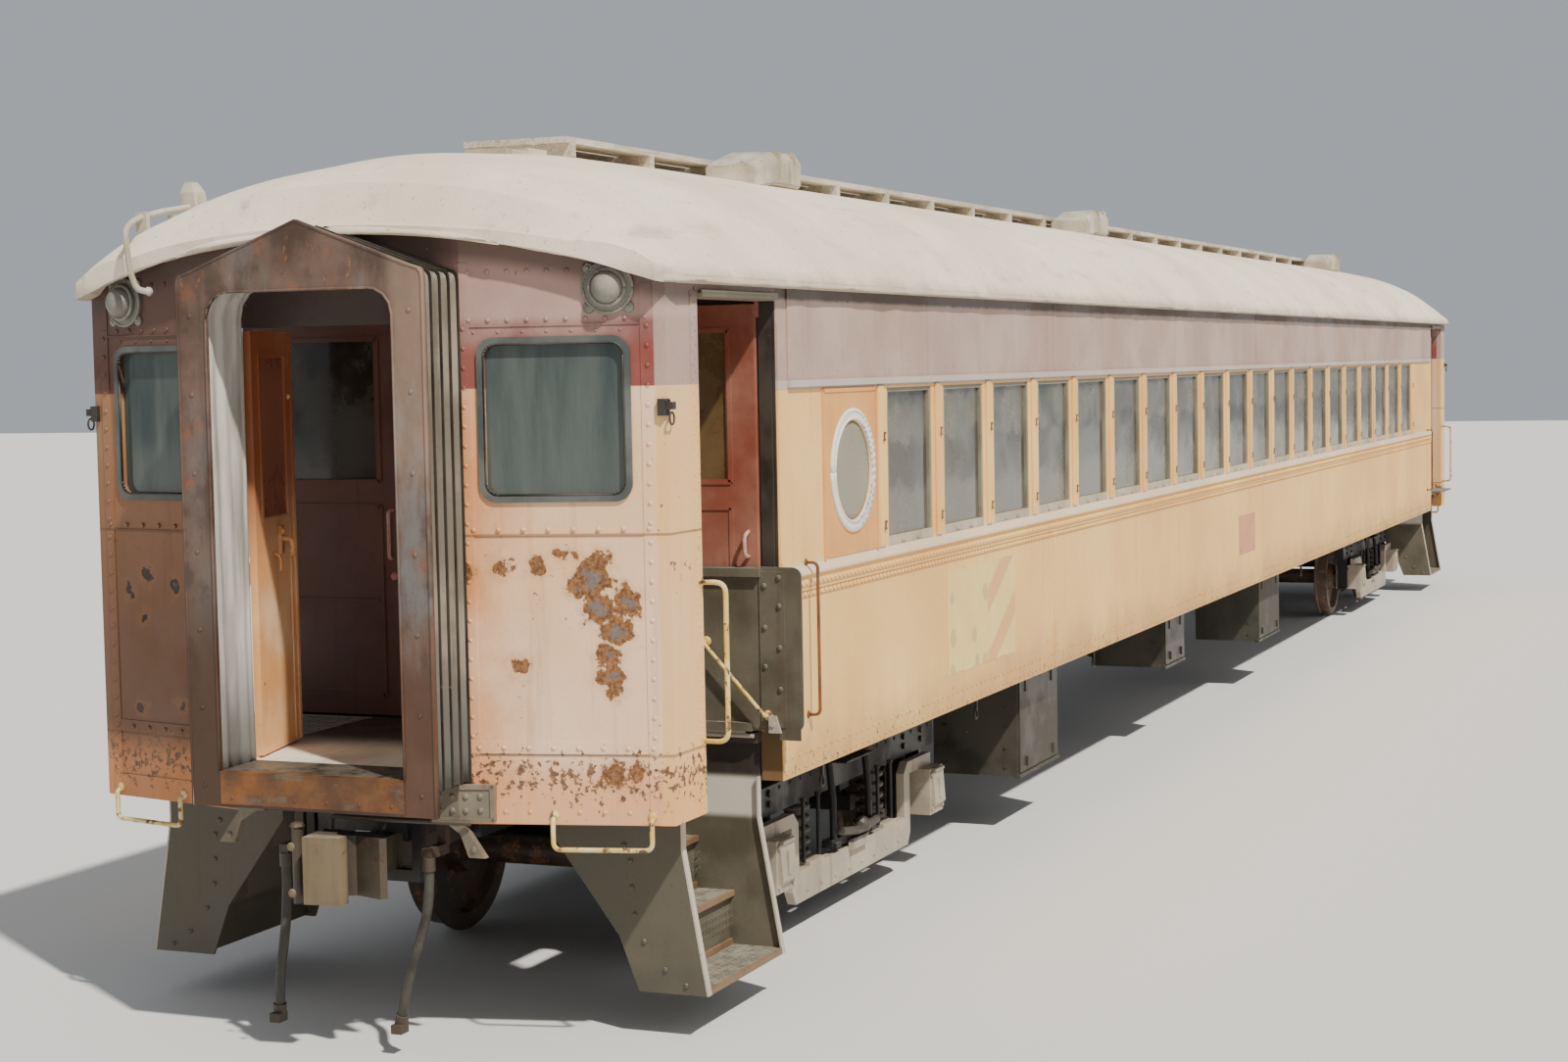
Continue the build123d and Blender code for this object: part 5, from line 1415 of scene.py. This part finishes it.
def door_handle():
    grip = Heap()
    x = DOOR_REAR + 0.045
    path = ((-0.002, 2.05), (0.05, 2.06), (0.055, 2.15), (-0.002, 2.17))
    grip.tube([(x, DOOR_OUT + out, RAIL + z) for out, z in path], 0.010, bend=0.03)
    x = DOOR_FREE - 0.06
    path = ((-0.002, 2.02), (0.045, 2.02), (0.045, 2.26), (-0.002, 2.26))
    grip.tube([(x, DOOR_OUT + out, RAIL + z) for out, z in path], 0.009, bend=0.03)
    return grip.dome((x, DOOR_OUT, RAIL + 1.93), LEFTWARD, 0.022, 0.008, 12)


door_glass = Heap().block(
    (DOOR_REAR + 0.150, DOOR_IN + 0.0105, RAIL + 2.415), (DOOR_FREE - 0.150, DOOR_OUT - 0.0105, RAIL + 3.098)
)
for name, place in quarters("side_door"):
    body = "body" if name == "side_door_near_left" else name
    pane = "door_pane" if name.endswith("left") else "dark_pane"
    fittings = (
        ("glass", door_glass, "window_glass", pane), ("mouldings", door_mouldings(), "door_paint", None),
        ("handle", door_handle(), "door_paint", "door_handle"),
    )
    for part, heap, slot, finish in fittings:
        heap = place(heap.turned(DOOR_HINGE, "Z", -90))
        heap.make(f"{name}_{part}", slot, finish, smooth=part == "handle", body=body)


# End door leaves: glass, mouldings and latch, drawn closed
LEAF_IN, LEAF_OUT = at(0.060), at(0.025)
LEAF_HINGE = (LEAF_IN, 0.535, 0.0)


def leaf_mouldings():
    trim = Heap()
    for x0, x1 in ((LEAF_IN - 0.005, LEAF_IN), (LEAF_OUT, LEAF_OUT + 0.005)):
        for y in (0.105, 0.456):
            trim.block((x0, y - 0.010, RAIL + 2.285), (x1, y + 0.010, RAIL + 3.035))
        for z in (RAIL + 2.285, RAIL + 3.035):
            trim.block((x0, 0.105, z - 0.010), (x1, 0.456, z + 0.010))
        trim.block((x0, 0.082, RAIL + 1.25), (x1, 0.094, RAIL + 2.24))
    trim.block((LEAF_OUT, 0.008, RAIL + 1.24), (LEAF_OUT + 0.006, 0.034, RAIL + 3.13))
    for z in spaced(RAIL + 1.30, RAIL + 3.08, 0.12):
        trim.dome((LEAF_OUT + 0.006, 0.021, z), ONWARD, 0.005, 0.003, 6)
    return trim


def leaf_latch():
    latch = Heap().block((LEAF_OUT, 0.205, RAIL + 2.12), (LEAF_OUT + 0.012, 0.262, RAIL + 2.25))
    lever = ((0.010, 0.232, 2.19), (0.055, 0.232, 2.19), (0.057, 0.225, 2.11))
    latch.tube([(LEAF_OUT + out, y, RAIL + z) for out, y, z in lever], 0.012, bend=0.02)
    latch.dome((LEAF_OUT + 0.010, 0.232, RAIL + 2.225), ONWARD, 0.017, 0.016, 10)
    pull = ((0.002, 0.335, 2.13), (0.035, 0.335, 2.12), (0.035, 0.325, 2.05))
    latch.tube([(LEAF_OUT + out, y, RAIL + z) for out, y, z in pull], 0.007, bend=0.015)
    return latch.dome((LEAF_OUT, 0.062, RAIL + 2.84), ONWARD, 0.014, 0.012, 10)


leaf_glass = Heap().block((LEAF_IN + 0.0085, 0.116, RAIL + 2.30), (LEAF_OUT - 0.0035, 0.445, RAIL + 3.02))
for name, place in quarters("end_door"):
    fittings = (
        ("glass", leaf_glass, "window_glass", "leaf_pane"),
        ("mouldings", leaf_mouldings(), "end_door_paint", None),
        ("latch", leaf_latch(), "end_door_paint", "leaf_latch"),
    )
    for part, heap, slot, finish in fittings:
        heap = place(heap.turned(LEAF_HINGE, "Z", -105))
        heap.make(f"{name}_{part}", slot, finish, smooth=part == "latch", body=name)


# Steps: flanges on the side plates, nosings, studs and rivets
STEP_FRONT, STEP_REAR = at(0.515), at(1.400)
STAIR_LINE = ((SIDE - 0.122, RAIL + 0.82), (SIDE - 0.010, RAIL + 0.175))
TREADS = ((0.200, 0.280, 0.008), (0.460, 0.460, 0.255), (0.712, 0.615, 0.435), (0.967, 0.752, 0.590))


def step_flanges():
    """Bright turned edges along the outer side of each plate."""
    edges = Heap()
    (y0, z0), (y1, z1) = STAIR_LINE
    for x0, x1 in ((STEP_FRONT - 0.035, STEP_FRONT + 0.001), (STEP_REAR - 0.001, STEP_REAR + 0.035)):
        edges.prism([(x0, y0, z0), (x1, y0, z0), (x1, y1, z1), (x0, y1, z1)], (0, 0.009, 0.0015))
        edges.block((x0, y0, z0), (x1, y0 + 0.009, RAIL + 1.01))
    return edges.both_ways(1)


def step_nosings():
    lips = Heap()
    front, rear = STEP_FRONT - 0.013, STEP_REAR + 0.013
    for height, inner, outer in TREADS:
        z = RAIL + height
        lips.block((front, SIDE - outer - 0.022, z - 0.027), (rear, SIDE - outer + 0.003, z + 0.003))
        lips.block((front, SIDE - inner, z), (rear, SIDE - inner + 0.016, z + 0.030))
    return lips.both_ways(1)


def step_studs():
    studs = Heap()
    stations = spaced(STEP_REAR + 0.03, STEP_FRONT - 0.03, 0.038)
    for height, inner, outer in TREADS[:3]:
        for y in spaced(SIDE - inner + 0.03, SIDE - outer - 0.04, 0.038):
            for x in stations:
                studs.dome((x, y, RAIL + height), UPWARD, 0.007, 0.0035, 4)
    for height, outer in ((0.30, 0.30), (0.56, 0.46)):
        for x in stations:
            for rise in (0.0, 0.038, 0.076):
                studs.dome((x, SIDE - outer + 0.033, RAIL + height + rise), LEFTWARD, 0.006, 0.003, 4)
    for y, z in (
        (1.10, 0.76), (1.105, 0.64), (1.115, 0.52), (1.16, 0.40), (1.26, 0.28), (1.36, 0.215), (1.07, 0.83),
    ):
        studs.dome((STEP_FRONT + 0.0005, y, RAIL + z), ONWARD, 0.013, 0.009, 10)
        studs.dome((STEP_REAR - 0.0005, y, RAIL + z), (-1, 0, 0), 0.013, 0.009, 10)
    return studs.both_ways(1)


pair(0, step_flanges(), "step_flanges", "step_steel", "step_edge")
pair(0, step_nosings(), "step_nosings", "step_steel", "nosing_brown", bevel=0.003)
pair(0, step_studs(), "step_studs", "step_steel")


# Truck dressing: tie bars, hangers, bolts, lid hinges and brake rods
AXLE_OFFSET = 1.17


def truck_dressing():
    dark, pale = Heap(), Heap()
    for x in (-AXLE_OFFSET, AXLE_OFFSET):
        dark.block((x - 0.19, 0.905, RAIL + 0.285), (x + 0.19, 0.995, RAIL + 0.313))
        for edge in (x - 0.150, x + 0.150):
            dark.bolt((edge, 0.95, RAIL + 0.285), DOWNWARD, 0.022, 0.02)
            for z, radius, height in ((0.70, 0.018, 0.014), (0.755, 0.018, 0.014), (0.52, 0.016, 0.012)):
                dark.bolt((edge, 0.999, RAIL + z), LEFTWARD, radius, height)
        pale.tube([(x - 0.075, 1.165, RAIL + 0.548), (x + 0.075, 1.165, RAIL + 0.548)], 0.013)
        pale.block((x - 0.02, 1.150, RAIL + 0.38), (x + 0.02, 1.180, RAIL + 0.50))
        for dx in (-0.09, 0.09):
            for z in (0.325, 0.525):
                pale.bolt((x + dx, 1.149, RAIL + z), LEFTWARD, 0.014, 0.012)
        for dx in (-0.055, 0.055):
            pale.dome((x + dx, 1.173, RAIL + 0.36), (0, 1, 0.1), 0.012, 0.008)
    for x in (-0.56, 0.56):
        dark.tube([(x, 0.955, RAIL + 0.30), (x, 0.955, RAIL + 0.335)], 0.055, sides=16)
        for hanger in (x - 0.105, x + 0.105):
            dark.tube([(hanger, 1.046, RAIL + 0.335), (hanger, 1.046, RAIL + 0.66)], 0.011)
            dark.bolt((hanger, 1.046, RAIL + 0.66), UPWARD, 0.018, 0.014)
    for x in (-0.27, 0.27):
        dark.tube([(x, 1.04, RAIL + 0.80), (x, 1.06, RAIL + 0.60), (x, 1.06, RAIL + 0.36)], 0.020)
        dark.block((x - 0.035, 1.02, RAIL + 0.34), (x + 0.035, 1.09, RAIL + 0.37))
    dark.block((-0.33, 1.015, RAIL + 0.345), (0.33, 1.075, RAIL + 0.385))
    pale.block((-0.14, 1.080, RAIL + 0.30), (0.10, 1.11, RAIL + 0.355))
    brake_rod = [(-0.30, 1.095, RAIL + 0.40), (-0.02, 1.10, RAIL + 0.385), (0.26, 1.10, RAIL + 0.43)]
    pale.tube(brake_rod, 0.024, bend=0.1).dome((-0.05, 1.10, RAIL + 0.41), (0, 0.6, 1), 0.055, 0.05, 12)
    for x in spaced(-0.70, 0.70, 0.20):
        pale.dome((x, 1.079, RAIL + 0.200), LEFTWARD, 0.013, 0.008, 8)
    for x in spaced(-1.45, 1.45, 0.145):
        dark.dome((x, 1.0, RAIL + 0.765), LEFTWARD, 0.013, 0.008, 8)
    return dark.both_ways(1), pale.both_ways(1)


dark, pale = truck_dressing()
for name, heap, finish in (("truck_dressing", dark, None), ("equalizer_dressing", pale, "equalizer_dust_and_shade")):
    near = heap.moved(lambda p: (p[0] + at(TRUCK), p[1], p[2]))
    near.make(f"{name}_near", "truck_iron", finish, body="truck_near")
    near.mirrored(0).make(f"{name}_far", "truck_iron", finish, body="truck_far")


# Under the floor: pipes with hangers, box lids and latches, and rings
def under_pipes():
    pipes = Heap()
    for y, z, radius in ((0.62, 0.905, 0.021), (-0.66, 0.905, 0.021), (0.98, 0.93, 0.016)):
        pipes.tube([(at(1.9), y, RAIL + z), (-at(1.9), y, RAIL + z)], radius)
        wide = radius + 0.006
        for x in spaced(at(2.2), -at(2.2), 2.1):
            pipes.block((x - 0.015, y - wide, RAIL + z - wide), (x + 0.015, y + wide, RAIL + 1.17))
    for x in (at(station) for station in (2.15, 4.62, 7.2, 14.6, 18.3)):
        pipes.loop((x, SIDE - 0.10, RAIL + 0.87), (0.022, 0, 0), (0, 0, 0.030), 12, 0.007, 6)
        pipes.block((x - 0.008, SIDE - 0.108, RAIL + 0.895), (x + 0.008, SIDE - 0.092, RAIL + 1.01))
    return pipes


def box_details():
    lids = Heap()
    y = SIDE - 0.18
    high = RAIL + 0.935
    for first, last, low in ((5.69, 6.57, 0.320), (9.50, 10.15, 0.560), (12.96, 13.90, 0.390)):
        x0, x1 = at(first), at(last)
        foot = RAIL + low
        lids.block((x0 - 0.02, y, foot + 0.02), (x1 + 0.02, y + 0.012, high))
        lids.block((x0 + 0.004, y - 0.02, foot - 0.012), (x1 - 0.004, y + 0.016, foot + 0.010))
        for x in (x0 - 0.15, x1 + 0.15):
            lids.block((x - 0.02, y + 0.010, high - 0.09), (x + 0.02, y + 0.020, high - 0.01))
            lids.tube([(x - 0.03, y + 0.018, high - 0.005), (x + 0.03, y + 0.018, high - 0.005)], 0.009)
            lids.block((x - 0.012, y + 0.010, foot + 0.05), (x + 0.012, y + 0.028, foot + 0.11))
        for z in spaced(foot + 0.06, high - 0.06, 0.12):
            for inward in (0.08, 0.48):
                lids.bolt((x0, y - inward, z), ONWARD, 0.012, 0.008)
    return lids


under_pipes().make("under_pipes", "frame_black")
box_details().make("box_lids", "box_steel", bevel=0.002)


# Coupler: pin, bolts and lock lifter on each head
def coupler_details():
    nose = HALF + 0.42
    bits = Heap().tube([(nose - 0.105, -0.085, RAIL + z) for z in (0.665, 1.0)], 0.024, sides=14)
    bits.dome((nose - 0.105, -0.085, RAIL + 1.0), UPWARD, 0.034, 0.02, 12)
    for z in (0.73, 0.93):
        bits.dome((nose - 0.001, -0.05, RAIL + z), ONWARD, 0.020, 0.010, 12)
    lifter = ((0.22, 0.03, 0.975), (0.22, 0.03, 1.035), (0.24, 0.30, 1.035), (0.05, 0.62, 1.0))
    return bits.tube([(HALF + out, y, RAIL + z) for out, y, z in lifter], 0.010)


pair(0, coupler_details(), "coupler_pins", "coupler_iron")


# Seats: crowned cushions and backs on plain frames, with a rail on the aisle side
SEAT_FIRST = FIRST_POST - 0.2
SEAT_IN, SEAT_OUT = 0.470, 1.352


def seat_rows():
    pads, frames = Heap(), Heap()
    width = (SEAT_OUT - SEAT_IN) / 2
    for i in range(WINDOW_COUNT):
        x = at(SEAT_FIRST + WINDOW_PITCH * (i + 0.5))
        for part in (-0.5, 0.5):
            y = (SEAT_OUT + SEAT_IN) / 2 + part * (width - 0.004)
            pads.pillow((x + 0.005, y, FLOOR + 0.388), (0.228, width / 2 - 0.006, 0.062), 0.36)
            pads.pillow((x - 0.210, y, FLOOR + 0.745), (0.043, width / 2 - 0.006, 0.305), 0.42, -5.2)
        frames.block((x - 0.19, SEAT_IN + 0.06, FLOOR), (x + 0.19, SEAT_OUT - 0.094, FLOOR + 0.02))
        for dx in (-0.15, 0.15):
            for y in (SEAT_IN + 0.09, SEAT_OUT - 0.13):
                frames.tube([(x + dx, y, FLOOR + 0.01), (x + dx * 0.8, y, FLOOR + 0.335)], 0.018)
        frames.block((x - 0.20, SEAT_IN + 0.03, FLOOR + 0.315), (x + 0.20, SEAT_OUT - 0.06, FLOOR + 0.335))
        rail = ((-0.262, 1.045), (-0.235, 0.62), (0.16, 0.60), (0.17, 0.34))
        frames.tube([(x + dx, SEAT_IN + 0.012, FLOOR + z) for dx, z in rail], 0.012, bend=0.06)
    duct = at(VESTIBULE + 0.09)
    frames.block((-duct, SEAT_OUT - 0.09, FLOOR), (duct, SEAT_OUT, FLOOR + 0.16))
    for x in spaced(-duct + 0.2, duct - 0.2, 0.45):
        frames.block((x - 0.12, SEAT_OUT - 0.093, FLOOR + 0.05), (x + 0.12, SEAT_OUT - 0.088, FLOOR + 0.11))
    return pads, frames


pads, frames = seat_rows()
for side, cushions in zip(("left", "right"), pair(1, pads, "seat_pads", "seat_leather", smooth=True)):
    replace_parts(cushions, f"seats_{side}")
pair(1, frames, "seat_frames", "seat_leather", "seat_iron")


# Floor and lights
def stage():
    mesh = bpy.data.meshes.new("ground")
    mesh.from_pydata([(-90, -90, 0), (90, -90, 0), (90, 90, 0), (-90, 90, 0)], [], [(0, 1, 2, 3)])
    ground = bpy.data.objects.new("ground", mesh)
    bpy.context.scene.collection.objects.link(ground)
    plain = bpy.data.materials.new("plain_floor")
    plain.use_nodes = True
    shader = plain.node_tree.nodes["Principled BSDF"].inputs
    shader["Base Color"].default_value = (0.72, 0.71, 0.69, 1)
    shader["Roughness"].default_value = 0.9
    mesh.materials.append(plain)
    sun = bpy.data.lights.new("key_light", "SUN")
    sun.energy = 5.0
    sun.angle = 0.03
    sun.color = (1.0, 0.955, 0.88)
    key = bpy.data.objects.new("key_light", sun)
    key.rotation_euler = Vector((1.0, 1.5, 2.25)).to_track_quat("Z", "Y").to_euler()
    bpy.context.scene.collection.objects.link(key)
    world = bpy.data.worlds.new("studio")
    world.use_nodes = True
    sky = world.node_tree.nodes["Background"].inputs
    sky["Color"].default_value = (0.80, 0.86, 0.93, 1)
    sky["Strength"].default_value = 0.5
    bpy.context.scene.world = world


stage()

# Hoses, on the same routes as their solids
HOSE_DIAMETER = 0.044


def hose(name, route, covered):
    curve = bpy.data.curves.new(name, "CURVE")
    curve.dimensions = "3D"
    spline = curve.splines.new("NURBS")
    spline.points.add(len(route) - 1)
    for point, place in zip(spline.points, route):
        point.co = (*place, 1)
    spline.order_u = 3
    spline.use_endpoint_u = True
    spline.resolution_u = 12
    curve.bevel_depth = HOSE_DIAMETER / 2
    curve.bevel_resolution = 5
    curve.use_fill_caps = True
    curve.materials.append(finishes["hose_rubber"])
    tube = bpy.data.objects.new(name, curve)
    bpy.context.scene.collection.objects.link(tube)
    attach(tube, "body")
    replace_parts(tube, covered)
    return tube


HOSES = (
    ("one", 0.62, ((0.040, -0.330, 0.760), (0.040, -0.330, 0.610), (0.088, -0.320, 0.440),
                   (0.106, -0.338, 0.280), (0.092, -0.352, 0.150))),
    ("two", 0.65, ((0.040, 0.400, 0.780), (0.040, 0.400, 0.640), (0.092, 0.372, 0.470),
                   (0.112, 0.318, 0.300), (0.096, 0.280, 0.150))),
)
for name, length, line in HOSES:
    route = [(HALF + out, y, RAIL + z) for out, y, z in line]
    hose(f"hose_tube_{name}", route, f"hose_{name}")
    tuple(route[0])
